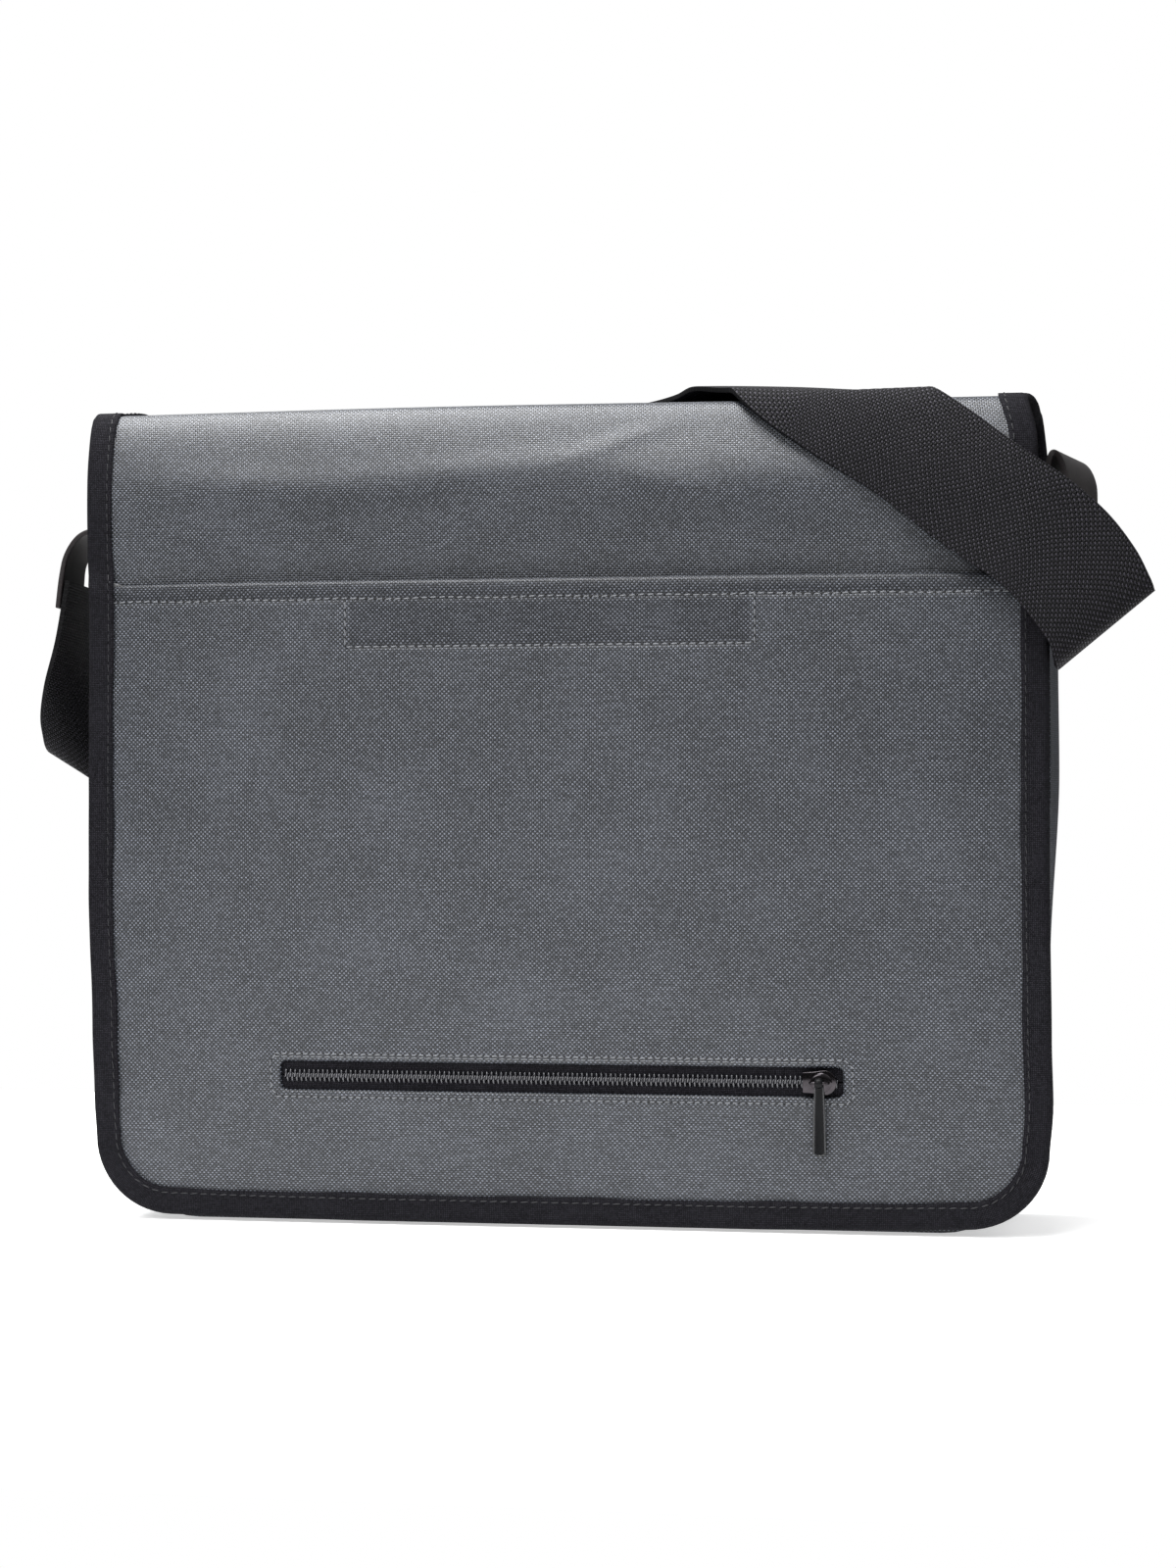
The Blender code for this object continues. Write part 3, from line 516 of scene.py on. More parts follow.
def applyAll(piece):
    pick(piece)
    for modifier in list(piece.modifiers):
        bpy.ops.object.modifier_apply(modifier=modifier.name)


def soften(piece, width, segments=3, degrees=30):
    edge = piece.modifiers.new("soften", "BEVEL")
    edge.width = width
    edge.segments = segments
    edge.limit_method = "ANGLE"
    edge.angle_limit = radians(degrees)
    applyAll(piece)


def smoothBy(degrees):
    bpy.ops.object.shade_smooth_by_angle(angle=radians(degrees))


def inEditMode(*steps):
    bpy.ops.object.mode_set(mode="EDIT")
    bpy.ops.mesh.select_all(action="SELECT")
    for step, values in steps:
        step(**values)
    bpy.ops.mesh.normals_make_consistent(inside=False)
    bpy.ops.object.mode_set(mode="OBJECT")


def extruded(corners, way):
    # a solid between an outline and the same outline moved by way
    bpy.ops.mesh.primitive_circle_add(vertices=len(corners), fill_type="NGON")
    piece = bpy.context.object
    for vertex, corner in zip(piece.data.vertices, corners):
        vertex.co = corner
    inEditMode((bpy.ops.mesh.extrude_region_move, {"TRANSFORM_OT_translate": {"value": way}}),
               (bpy.ops.mesh.select_all, {"action": "SELECT"}))
    return piece


def makeSheet(name, columns, rows, place, flat, material, thickness):
    # a flat grid, laid on the shape by place(column, row), flat(column, row) in metres
    bpy.ops.mesh.primitive_grid_add(x_subdivisions=columns, y_subdivisions=rows, size=1)
    piece = bpy.context.object
    piece.name = name
    mesh = piece.data
    spots = []
    for vertex in mesh.vertices:
        column = round((vertex.co.x + 0.5) * columns)
        row = round((vertex.co.y + 0.5) * rows)
        spots.append((column, row))
        vertex.co = place(column, row)
    layer = mesh.uv_layers[0]
    layer.name = "flat"
    for loop in mesh.loops:
        layer.data[loop.index].uv = flat(*spots[loop.vertex_index])
    mesh.materials.append(material)
    mesh.shade_smooth()
    if thickness:
        wall = piece.modifiers.new("wall", "SOLIDIFY")
        wall.thickness = thickness
        wall.offset = 0.0
        wall.use_even_offset = True
        applyAll(piece)
    return piece


def joinPieces(name, pieces):
    pick(*pieces)
    bpy.ops.object.join()
    pieces[0].name = name
    return pieces[0]


def copiesOf(name, source, matrices, material):
    # one mesh from many placed copies of a small one
    whole = bmesh.new()
    for matrix in matrices:
        copy = source.copy()
        copy.transform(matrix)
        whole.from_mesh(copy)
        bpy.data.meshes.remove(copy)
    mesh = bpy.data.meshes.new(name)
    whole.to_mesh(mesh)
    whole.free()
    mesh.materials.append(material)
    mesh.shade_smooth()
    piece = bpy.data.objects.new(name, mesh)
    bpy.context.scene.collection.objects.link(piece)
    return piece


stitch = {"thick": 0.0006, "share": 0.74, "sink": 0.00004, "slant": 5.0}


def stitchMesh():
    bpy.ops.mesh.primitive_uv_sphere_add(segments=6, ring_count=5, radius=0.5)
    bead = bpy.context.object
    bead.data.transform(Matrix.Rotation(pi / 2, 4, "Y"))
    for vertex in bead.data.vertices:  # a blunt, flattened grain
        vertex.co.x = copysign(abs(vertex.co.x * 2) ** 0.6 / 2, vertex.co.x)
    mesh = bead.data.copy()
    bpy.data.objects.remove(bead)
    return mesh


def sewRow(name, points, pitch, material, thick, share=stitch["share"], start=0.0):
    # points: (place, outward) pairs along the seam, close together
    matrices = []
    left = start
    for (a, outA), (b, _) in zip(points, points[1:]):
        length = (b - a).length
        way = (b - a).normalized()
        while left <= length:
            out = outA.normalized()
            centre = a + way * left + out * (thick * 0.35 - stitch["sink"])
            side = out.cross(way).normalized()
            turn = Matrix.Rotation(radians(stitch["slant"] + random.uniform(-3, 3)), 4, out)
            base = Matrix((way, side, way.cross(side))).transposed().to_4x4()
            size = Matrix.Diagonal((pitch * share * random.uniform(0.93, 1.05),
                                    thick, thick * 0.8, 1))
            matrices.append(Matrix.Translation(centre) @ turn @ base @ size)
            left += pitch
        left -= length
    return copiesOf(name, grain, matrices, material)


def pricked(name, points, pitch, thick):
    # light stitches with a dark bead after each: painted shade in the needle hole
    return [sewRow(name, points, pitch, greyThread, thick),
            sewRow(name, points, pitch, holeShadeThread, thick * 1.15, share=0.3, start=pitch / 2)]


grain = stitchMesh()


def onSurface(place, x, s):
    # a place and its outward direction, place(x, s) gives points of the outer face
    step = 0.0008
    here = place(x, s)
    acrossWay = place(x + step, s) - place(x - step, s)
    alongWay = place(x, s + step) - place(x, s - step)
    return here, acrossWay.cross(alongWay).normalized()


flapLook = {
    "columns": 96, "cornerRows": 10,
    "rows": (70, 22, 14, 12, 5),  # up the front, shoulder, top, back fold, lap
    "creases": (  # across, up the way, degrees, long, wide, high
        (0.03, 0.322, 18, 0.02, 0.0035, 0.0009),
        (-0.02, 0.312, 4, 0.06, 0.006, 0.0007),
        (-0.13, 0.306, -3, 0.05, 0.007, 0.0008),
        (-0.06, 0.296, 6, 0.04, 0.006, -0.0006),
        (0.06, 0.3, -16, 0.03, 0.006, 0.0007),
        (-0.15, 0.286, 8, 0.03, 0.006, 0.0006),
        (0.1, 0.285, -30, 0.025, 0.005, -0.0006),
    ),
    "swell": (0.305, 0.013, 0.0013),  # way up, spread, height of the shoulder's bulge
}


def clothRelief(x, s):
    high = 0.0
    for across, along, degrees, long, wide, rise in flapLook["creases"]:
        turn = radians(degrees)
        dx, ds = x - across, s - along
        a = dx * cos(turn) + ds * sin(turn)
        b = -dx * sin(turn) + ds * cos(turn)
        high += rise * exp(-(a / long) ** 2 - (b / wide) ** 2)
    middle, width, rise = flapLook["swell"]
    edge = max(0.0, 1 - (abs(x) / (flapWidth * 0.5)) ** 6)
    return (high + rise * exp(-((s - middle) / width) ** 2)) * edge


def lapTuck(x, s):
    # the flap's end comes in to the back panel between its bindings
    inside = flapHalf(s) - bag["tapeReach"] - gap
    part = min(max((s - fold.back) / (fold.seam - fold.back), 0.0), 1.0)
    side = min(max((inside - abs(x)) / (inside / 12), 0.0), 1.0)
    return (tapeThick + gap) * part * side


def flapRows():
    corner = bag["flapCorner"]
    marks = [corner, fold.shoulder, fold.crest, fold.along[foldSteps * 3], fold.back, fold.seam]
    rows = cornerSteps(corner, flapLook["cornerRows"])
    for low, high, count in zip(marks, marks[1:], flapLook["rows"]):
        rows += spread(low, high, count)[:-1]
    return rows + [fold.seam]


def makeFlap():
    rows = flapRows()
    count = flapLook["columns"]

    def spot(column, row):
        s = rows[row]
        return (-1 + 2 * column / count) * flapHalf(s), s

    def place(column, row):
        x, s = spot(column, row)
        return fold.place(x, s, clothRelief(x, s) - lapTuck(x, s))

    piece = makeSheet("flapCloth", count, len(rows) - 1, place, spot, canvas, cloth)
    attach(piece, "bag")
    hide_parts("flap")


makeFlap()
print("flap made")

pocketLook = {"columns": 84, "rows": 66, "cornerRows": 10, "hem": 0.0075, "hemRows": 10,
              "hemStep": 0.0012, "turnRows": 4, "stitchPitch": 0.0038, "skin": 0.8}
slot = {"length": 0.2364, "height": 0.0127, "corner": 0.003, "x": -0.0004, "z": 0.0615,
        "cutGrow": 0.0006, "cutFrom": 0.02, "cutDeep": 0.0185}
seams = {"boxLeft": -0.088, "boxRight": 0.0836, "boxLow": 0.24, "boxHigh": 0.26,
         "zipLeft": -0.1224, "zipRight": 0.1214, "zipLow": 0.0526, "zipHigh": 0.0706,
         "cut": 0.003, "groove": 0.00045, "grooveWide": 0.0011,
         "overWelt": 0.00025, "zipPitch": 0.0031, "zipThread": 0.00056,
         "secondIn": 0.0012, "secondThread": 0.00046}


def seamPress(x, s):
    # the cloth is drawn in along its rows of stitches
    deep = 0.0
    for z, low, high in ((seams["boxHigh"], -1, 1),
                         (seams["boxLow"], seams["boxLeft"], seams["boxRight"])):
        if low < x < high:
            deep += exp(-((s - fold.atFront(z)) / seams["grooveWide"]) ** 2)
    return -seams["groove"] * deep


def withRows(rows, z, reach=0.003, step=0.0006):
    # closer rows about a seam
    middle = fold.atFront(z)
    close = [middle + step * k for k in range(-int(reach / step), int(reach / step) + 1)]
    kept = [s for s in rows if abs(s - middle) > reach + step / 2]
    return sorted(kept + close)


def pocketFace(x, s):
    return onPocket(x, s, pocketThick * 0.4 + seamPress(x, s))


def makePocket():
    corner = bag["flapCorner"]
    top = fold.atFront(bag["mouth"])
    rows = cornerSteps(corner, pocketLook["cornerRows"]) + spread(corner, top, pocketLook["rows"])
    rows = withRows(withRows(rows, seams["boxHigh"]), seams["boxLow"])
    radius = pocketThick * 0.62
    count = pocketLook["columns"]
    last = len(rows) - 1
    hemRows, turnRows = pocketLook["hemRows"], pocketLook["turnRows"]

    def spot(column, row):
        s = rows[row] if row <= last else top + (row - last) * pocketLook["hemStep"]
        return (-1 + 2 * column / count) * flapHalf(min(s, top)), s

    def place(column, row):
        x, s = spot(column, row)
        if row <= last:
            return onPocket(x, s, seamPress(x, s))
        step = row - last  # the hem turns over inwards
        point = onPocket(x, top)
        inwards = min(1.0, (flapHalf(top) - bag["tapeReach"] - abs(x)) / 0.004)
        if inwards <= 0:
            return fold.place(x, top + 0.00012 * step, pocketLift(x, top))
        turn = pi * min(step / turnRows, 1.0)
        point.z += radius * sin(turn) * inwards
        point.y += radius * (1 - cos(turn)) * inwards
        if step > turnRows:
            point.z -= (step - turnRows) * pocketLook["hem"] / (hemRows - turnRows) * inwards
        return point

    piece = makeSheet("pocketCloth", count, last + hemRows, place, spot, canvas,
                      pocketThick * pocketLook["skin"])
    cutSlot(piece)
    piece.data.materials.append(hemShadedCanvas)
    layer = piece.data.uv_layers["flat"].data
    hemFoot, boxFoot = fold.atFront(seams["boxHigh"]), fold.atFront(seams["boxLow"])
    for face in piece.data.polygons:  # where the cloth lies double: a darker canvas, partly painted shade from the pocket's gape
        u, v = sum((layer[k].uv for k in face.loop_indices), Vector((0, 0))) / face.loop_total
        if v > hemFoot or v > boxFoot and seams["boxLeft"] < u < seams["boxRight"]:
            face.material_index = 1
    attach(piece, "bag")
    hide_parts("pocket_panel")
    top + pocketLook["hem"]


def slotOutline(grow, count=7):
    # points round the slot, counter clockwise from its lower right corner
    radius = slot["corner"] + grow
    flatX, flatZ = slot["length"] / 2 - slot["corner"], slot["height"] / 2 - slot["corner"]
    outline = []
    for corner, (end, side) in enumerate(((1, -1), (1, 1), (-1, 1), (-1, -1))):
        for k in range(count):
            turn = pi / 2 * (corner - 1 + k / (count - 1))
            outline.append((end * flatX + radius * cos(turn), side * flatZ + radius * sin(turn)))
        if end == side:  # along the upper and lower edge
            for k in range(1, 60):
                outline.append((end * flatX * (1 - k / 30), side * (flatZ + radius)))
    return outline


def cutSlot(piece):
    centre = fold.place(slot["x"], fold.atFront(slot["z"]), 0.0)
    cutter = extruded([(slot["x"] + x, centre.y - slot["cutFrom"], centre.z + z)
                       for x, z in slotOutline(slot["cutGrow"])], (0, slot["cutDeep"], 0))
    hole = piece.modifiers.new("slot", "BOOLEAN")
    hole.operation = "DIFFERENCE"
    hole.object = cutter
    hole.solver = "EXACT"
    applyAll(piece)
    bpy.data.objects.remove(cutter)


makePocket()
print("pocket made")

weltProfile = (  # out from the slot's edge, height over the cloth
    (-0.0004, -0.00165), (-0.0003, -0.0008), (0.0, -0.00015), (0.0006, 0.00028),
    (0.0014, 0.00042), (0.0024, 0.0002), (0.0034, 0.0003), (0.0052, 0.00012),
    (0.007, 0.00004), (0.0085, -0.0001))


def makeWelt():
    # the turned edge of the slot: a ring that rolls in over the cut cloth
    outlines = [slotOutline(grow) for grow, _ in weltProfile]
    around = len(outlines[0])
    middle = fold.atFront(slot["z"])

    def flat(column, row):
        x, dz = outlines[row][column % around]
        return x + slot["x"], middle + dz

    def place(column, row):
        x, s = flat(column, row)
        return onPocket(x, s, pocketThick / 2 + weltProfile[row][1])

    piece = makeSheet("zipWelt", around, len(weltProfile) - 1, place, flat, canvas, None)
    pick(piece)
    inEditMode((bpy.ops.mesh.remove_doubles, {"threshold": 0.000002}))
    smoothBy(60)
    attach(piece, "bag")


makeWelt()
print("welt made")

binding = {"sideStep": 0.004, "cornerSteps": 14, "footSteps": 80, "round": 7, "leg": 6,
           "wave": 0.00025, "ripple": 0.00008, "elbow": 0.001, "weaveWide": 0.026, "flatWide": 0.0245,
           "stitchPitch": 0.0043, "stitchThick": 0.00055, "stitchIn": 0.0082}


def bindingPath():
    # from the left seam down, round the foot and up: across, along, the way inwards
    corner = bag["flapCorner"]
    sides = spread(corner, fold.seam, int((fold.seam - corner) / binding["sideStep"]))
    half = flapHalf(corner)
    steps, count = binding["cornerSteps"], binding["footSteps"]
    turns = [pi / 2 * k / steps for k in range(1, steps)]
    path = [(-flapHalf(s), s, 1.0, 0.0) for s in reversed(sides)]
    path += [(-half + corner * (1 - cos(t)), corner * (1 - sin(t)), cos(t), sin(t)) for t in turns]
    path += [((-half + corner) * (1 - 2 * k / count), 0.0, 0.0, 1.0) for k in range(count + 1)]
    path += [(half - corner * (1 - sin(t)), corner * (1 - cos(t)), -sin(t), cos(t)) for t in turns]
    return path + [(flapHalf(s), s, -1.0, 0.0) for s in sides]


def bindingLift(s):
    # the tape's front leg climbs over the pocket's edge below the mouth
    mouth = fold.atFront(bag["mouth"])
    over = min(max((mouth + 0.0046 - s) / 0.003, 0.0), 1.0)
    over = over * over * (3 - 2 * over)
    return cloth / 2 + gap + tapeThick / 2 + over * (pocketThick + gap)


def makeBinding():
    path = bindingPath()
    back = -(cloth / 2 + gap + tapeThick / 2)
    legs, bend, elbow = binding["leg"], binding["round"], binding["elbow"]
    out = -(gap + tapeThick / 2)
    sections = []
    lengths = lengthsAlong([(x, s) for x, s, _, _ in path])
    for (x, s, inX, inS), gone in zip(path, lengths):
        front = bindingLift(s)
        reach = bag["tapeReach"] + binding["wave"] * (sin(gone * 71) + 0.6 * sin(gone * 173 + 1))
        radius = (front - back) / 2
        centre = (front + back) / 2
        row = [(reach + (elbow - reach) * k / legs, front) for k in range(legs)]
        row += [(elbow - (elbow - out) * sin(pi * k / bend), centre + radius * cos(pi * k / bend))
                for k in range(bend + 1)]
        row += [(elbow + (reach - elbow) * k / legs, back) for k in range(1, legs + 1)]
        ripple = binding["ripple"] * sin(gone * 240)
        sections.append([fold.place(x + inX * a, s + inS * a, h + ripple) for a, h in row])
    wide = len(sections[0]) - 1
    piece = makeSheet("bindingTape", wide, len(sections) - 1, lambda c, r: sections[r][c],
                      lambda c, r: (c * binding["weaveWide"] / wide, lengths[r]), tape, tapeThick)
    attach(piece, "bag")
    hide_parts("flap_binding")

    seam = []
    a = binding["stitchIn"]
    for x, s, inX, inS in path:
        lift = bindingLift(s) + tapeThick / 2
        seam.append(onSurface(lambda px, ps: fold.place(px, ps, lift), x + inX * a, s + inS * a))
    thread = sewRow("bindingStitches", seam, binding["stitchPitch"], blackThread,
                    binding["stitchThick"])
    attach(thread, "bag")


makeBinding()
print("binding made")

body = {"columns": 60, "cornerRows": 10, "rows": 60, "gussetColumns": 16, "footRows": 60}


def bodyLevels(top):
    return cornerSteps(bag["bodyCorner"], body["cornerRows"]) + spread(
        bag["bodyCorner"], top, body["rows"])


def makePanel(name, node, side, top):
    levels = bodyLevels(top)
    count = body["columns"]

    def flat(column, row):
        return side * (1 - 2 * column / count) * roundedHalf(levels[row]), levels[row]

    def place(column, row):
        x, z = flat(column, row)
        u = -1 + 2 * column / count
        swell = bag["crown"] * (1 - u * u) * sin(pi * min(z / top, 1.0))
        y = bodyDepth(z) - cloth / 2 - bag["crown"] + swell
        return Vector((x, side * y, z + gap))

    piece = makeSheet(name, count, len(levels) - 1, place, flat, canvas, cloth)
    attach(piece, "bag")
    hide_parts(node)


def makeGusset():
    radius = bag["bodyCorner"]
    inset = cloth / 2
    side = []  # x, z and how upright the strip stands there
    for z in reversed(bodyLevels(bag["gussetTop"])[1:]):
        upright = sin(acos((radius - z) / radius)) if z < radius else 1.0
        lean = sqrt(max(1 - upright * upright, 0.0))
        side.append((-(roundedHalf(z) - inset * upright), z + inset * lean, upright))
    flatHalf = bodyHalf(radius) - radius
    outline = side + [(x, inset, 0.0) for x in spread(-flatHalf, flatHalf, body["footRows"])]
    outline += [(-x, z, upright) for x, z, upright in reversed(side)]
    travelled = lengthsAlong([(x, z) for x, z, _ in outline])
    count = body["gussetColumns"]

    def flat(column, row):
        reach = bodyDepth(outline[row][1]) - cloth - bag["crown"] - gap * 0.2
        return (-1 + 2 * column / count) * reach, travelled[row]

    def place(column, row):
        x, z, upright = outline[row]
        share = -1 + 2 * column / count
        sag = bag["gussetBow"] * upright ** 4 * (1 - share * share) * min(z / bag["height"] * 3, 1)
        return Vector((x - copysign(sag, x), flat(column, row)[0], z))

    piece = makeSheet("gussetCloth", count, len(outline) - 1, place, flat, canvas, cloth)
    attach(piece, "bag")
    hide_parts("gusset")


makePanel("frontCloth", "front_panel", -1, bag["frontTop"])
makePanel("backCloth", "back_panel", 1, bag["backTop"])
makeGusset()
print("body made")

strap = {"width": 0.05, "thick": 0.002, "columns": 20, "steps": 12}
strapOver = (  # across, along, lift, as shares
    (0.968, 0.378, 0.21), (0.857, 0.3995, 0.145), (0.795, 0.4132, 0.115),
    (0.73, 0.427, 0.09), (0.655, 0.4402, 0.08), (0.59, 0.452, 0.075),
    (0.525, 0.465, 0.085), (0.455, 0.484, 0.115), (0.385, 0.506, 0.13),
    (0.31, 0.53, 0.11), (0.19, 0.55, 0.095), (0.03, 0.569, 0.09),
    (-0.14, 0.587, 0.095), (-0.31, 0.607, 0.105), (-0.471, 0.629, 0.11),
    (-0.695, 0.673, 0.11))
strapRight = (  # across, deep, up, edge
    (1.028, -1.369, 0.7919, (-0.67, 0.0, -0.74)), (1.082, -1.381, 0.75, (-0.69, 0.0, -0.72)),
    (1.103, -1.35, 0.722, (-0.75, 0.04, -0.66)), (1.108, -1.23, 0.711, (-0.77, 0.12, -0.62)),
    (1.108, -1.05, 0.7165, (-0.73, 0.35, -0.58)), (1.094, -0.76, 0.75, (-0.56, 0.73, -0.38)),
    (1.07, -0.38, 0.8, (-0.36, 0.92, -0.15)), (1.042, -0.12, 0.842, (0.17, 0.98, 0.0)),
    (1.031, -0.02, 0.876, (0.2, 0.98, 0.0)), (1.029, -0.01, 0.9, (0.2, 0.98, 0.0)))
strapLeft = (
    (-0.85, 1.26, 0.615, (-0.57, -0.08, 0.82)), (-0.98, 1.13, 0.565, (-0.58, -0.3, 0.75)),
    (-1.065, 0.86, 0.537, (-0.59, -0.52, 0.62)), (-1.115, 0.56, 0.543, (-0.58, -0.66, 0.48)),
    (-1.128, 0.3, 0.582, (-0.44, -0.82, 0.36)), (-1.13, 0.13, 0.643, (-0.2, -0.96, 0.18)),
    (-1.122, 0.04, 0.713, (0.02, -1.0, 0.04)), (-1.112, 0.0, 0.79, (0.14, -0.99, 0.0)))


def smoothBetween(rows, steps):
    out = []
    last = len(rows) - 1
    for i in range(last):
        before, here = rows[max(i - 1, 0)], rows[i]
        there, after = rows[i + 1], rows[min(i + 2, last)]
        for k in range(steps):
            t = k / steps
            out.append([0.5 * (2 * b + (c - a) * t + (2 * a - 5 * b + 4 * c - d) * t * t
                               + (3 * b - a - 3 * c + d) * t ** 3)
                        for a, b, c, d in zip(before, here, there, after)])
    out.append(rows[-1])
    return out


def bodyPlace(across, deep, up):
    return Vector((across * bag["bodyWidth"] / 2, deep * bag["depth"] / 2, up * bag["height"]))


def ribbonRow(centre, edge, width, count):
    edge = Vector(edge).normalized() * width / 2
    return [centre + edge * (-1 + 2 * k / count) for k in range(count + 1)]


def strapRows():
    # over the bag the strap follows the flap, its free lengths hang between rows
    count, width, steps = strap["columns"], strap["width"], strap["steps"]
    spots = smoothBetween([(a * bag["bodyWidth"] / 2, s * fold.whole, lift * width)
                           for a, s, lift in strapOver], steps)
    last = len(spots) - 1
    over = []
    for i, (x, s, lift) in enumerate(spots):
        ahead, behind = spots[min(i + 1, last)], spots[max(i - 1, 0)]
        way = Vector((ahead[0] - behind[0], ahead[1] - behind[1])).normalized()
        side = Vector((way.y, -way.x)) * -width / 2
        over.append([fold.place(x + side.x * u, s + side.y * u, lift)
                     for u in spread(-1, 1, count)])
    right, left = [[ribbonRow(bodyPlace(a, d, up), edge, width, count) for a, d, up, edge in table]
                   for table in (strapRight, strapLeft)]
    front = smoothBetween(list(reversed(right)) + [over[0], over[steps]], steps)
    back = smoothBetween([over[-1 - steps], over[-1]] + left, steps)
    return front[:len(right) * steps] + over + back[steps + 1:]


def ribbonPiece(name, rows, width, thick, material):
    # a thickened sheet with soft edges, and its length along the middle
    count = len(rows[0]) - 1
    travelled = [0.0]
    for a, b in zip(rows, rows[1:]):
        travelled.append(travelled[-1] + (b[count // 2] - a[count // 2]).length)
    piece = makeSheet(name, count, len(rows) - 1, lambda c, r: rows[r][c],
                      lambda c, r: (c * width / count, travelled[r]), material, thick)
    soften(piece, thick * 0.36, degrees=50)
    smoothBy(50)
    return piece, travelled[-1]


def makeStrap():
    rows = strapRows()
    piece, length = ribbonPiece("strapWebbing", rows, strap["width"], strap["thick"], webbing)
    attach(piece, "bag")
    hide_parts("strap")
    print("strap length", round(length, 3))


makeStrap()
tab = {"width": 0.046, "thick": 0.0022, "sewn": 0.258, "seam": 0.0006, "columns": 12,
       "patchRows": 3, "steps": 8}
tabRight = (  # across, deep, up, turn
    (0.99, 0.0, 0.878, 0.0), (0.999, 0.0, 0.91, -4.0), (1.018, 0.0, 0.926, -9.0),
    (1.038, 0.0, 0.92, -12.0), (1.052, 0.0, 0.898, -13.0), (1.055, -0.01, 0.864, -12.0))
tabLeft = (
    (0.992, 0.0, 0.814, 0.0), (1.01, 0.0, 0.838, -2.0), (1.045, 0.0, 0.852, -5.0),
    (1.088, 0.0, 0.846, -8.0), (1.118, 0.0, 0.824, -9.0), (1.128, 0.0, 0.796, -8.0),
    (1.133, 0.01, 0.756, -6.0))


def makeTab(name, node, side, table):
    rows = []
    top = min(table[0][2] * bag["height"], bag["gussetTop"])
    for k in range(tab["patchRows"]):
        z = tab["sewn"] + (top - tab["sewn"]) * k / tab["patchRows"]
        reach = bodyDepth(z) - cloth - bag["crown"] - gap
        row = ribbonRow(Vector((0, 0, z)), (0, -1, 0), tab["width"], tab["columns"])
        for point in row:
            sag = bag["gussetBow"] * (1 - (point.y / reach) ** 2) * min(z / bag["height"] * 3, 1)
            point.x = side * (bodyHalf(z) - sag + tab["seam"] + tab["thick"] / 2)
        rows.append(row)
    for across, deep, up, turn in table:
        swing = radians(turn)
        rows.append(ribbonRow(bodyPlace(side * across, deep, up),
                              (side * sin(swing), -cos(swing), 0),
                              tab["width"], tab["columns"]))
    rows = smoothBetween(rows, tab["steps"])
    piece, length = ribbonPiece(name, rows, tab["width"], tab["thick"], tabSkin)
    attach(piece, "bag")
    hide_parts(node)
    print(name, "length", round(length, 3))


makeTab("tabRight", "strap_tab_right", 1, tabRight)
makeTab("tabLeft", "strap_tab_left", -1, tabLeft)
print("strap and tabs made")


def seamThrough(corners, place, step=0.002):
    points = []
    for (x0, s0), (x1, s1) in zip(corners, corners[1:]):
        count = max(1, int(hypot(x1 - x0, s1 - s0) / step))
        for k in range(count):
            points.append(onSurface(place, x0 + (x1 - x0) * k / count, s0 + (s1 - s0) * k / count))
    points.append(onSurface(place, *corners[-1]))
    return points


def makePocketSeams():
    height = fold.atFront
    low, high = height(seams["boxLow"]), height(seams["boxHigh"])
    left, right = seams["boxLeft"], seams["boxRight"]
    edge = flapHalf(high) - bag["tapeReach"]
    pitch = pocketLook["stitchPitch"]
    wander = [(-edge + 2 * edge * k / 60, high + 0.0003 * sin(k * 0.9)) for k in range(61)]
    box = [(right, high), (right, low), (left, low), (left, high)]
    rows = pricked("hemLine", seamThrough(wander, pocketFace), pitch, stitch["thick"])
    rows += pricked("boxLine", seamThrough(box, pocketFace), pitch, stitch["thick"])
    zipLow, zipHigh = height(seams["zipLow"]), height(seams["zipHigh"])
    zl, zr, cut = seams["zipLeft"], seams["zipRight"], seams["cut"]

    def weltFace(x, s):
        return onPocket(x, s, pocketThick / 2 + seams["overWelt"])

    ring = [(zl + cut, zipHigh), (zr - cut, zipHigh), (zr, zipHigh - cut), (zr, zipLow + cut),
            (zr - cut, zipLow), (zl + cut, zipLow), (zl, zipLow + cut), (zl, zipHigh - cut),
            (zl + cut, zipHigh)]
    pitch, under = seams["zipPitch"], zipHigh - seams["secondIn"]
    rows += pricked("zipBox", seamThrough(ring, weltFace), pitch, seams["zipThread"])
    second = [(zl + cut, under), (zr - cut * 2, under)]
    rows.append(sewRow("zipSecond", seamThrough(second, weltFace), pitch, greyThread,
                       seams["secondThread"]))
    piece = joinPieces("pocketStitches", rows)
    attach(piece, "bag")


makePocketSeams()
print("seams made")

zipLook = {"tapeThick": 0.0007, "tapeReach": 0.01, "over": 0.004, "coilWidth": 0.0047,
           "coilThick": 0.0012, "pitch": 0.002, "wire": 0.00042,
           "sliderX": 0.1078, "sliderLong": 0.0138, "sliderHigh": 0.0104, "roof": 0.0009,
           "tapeColumns": 80, "tapeRows": 8, "rib": 0.00012, "ribPitch": 0.0011,
           "coilEnds": 0.0022, "bridgeSpan": 0.0074, "bridgeWire": 0.00065, "bridgeRise": 0.0021,
           "pullLong": 0.03, "pullWide": 0.0048, "pullThick": 0.0015,
           "eyeWire": 0.0006, "eyeRoom": 0.00035, "eyeWide": 2.7, "pullEdge": 0.00022,
           "rim": 0.0005, "rimSlope": 0.0002, "panelDeep": 0.00032}


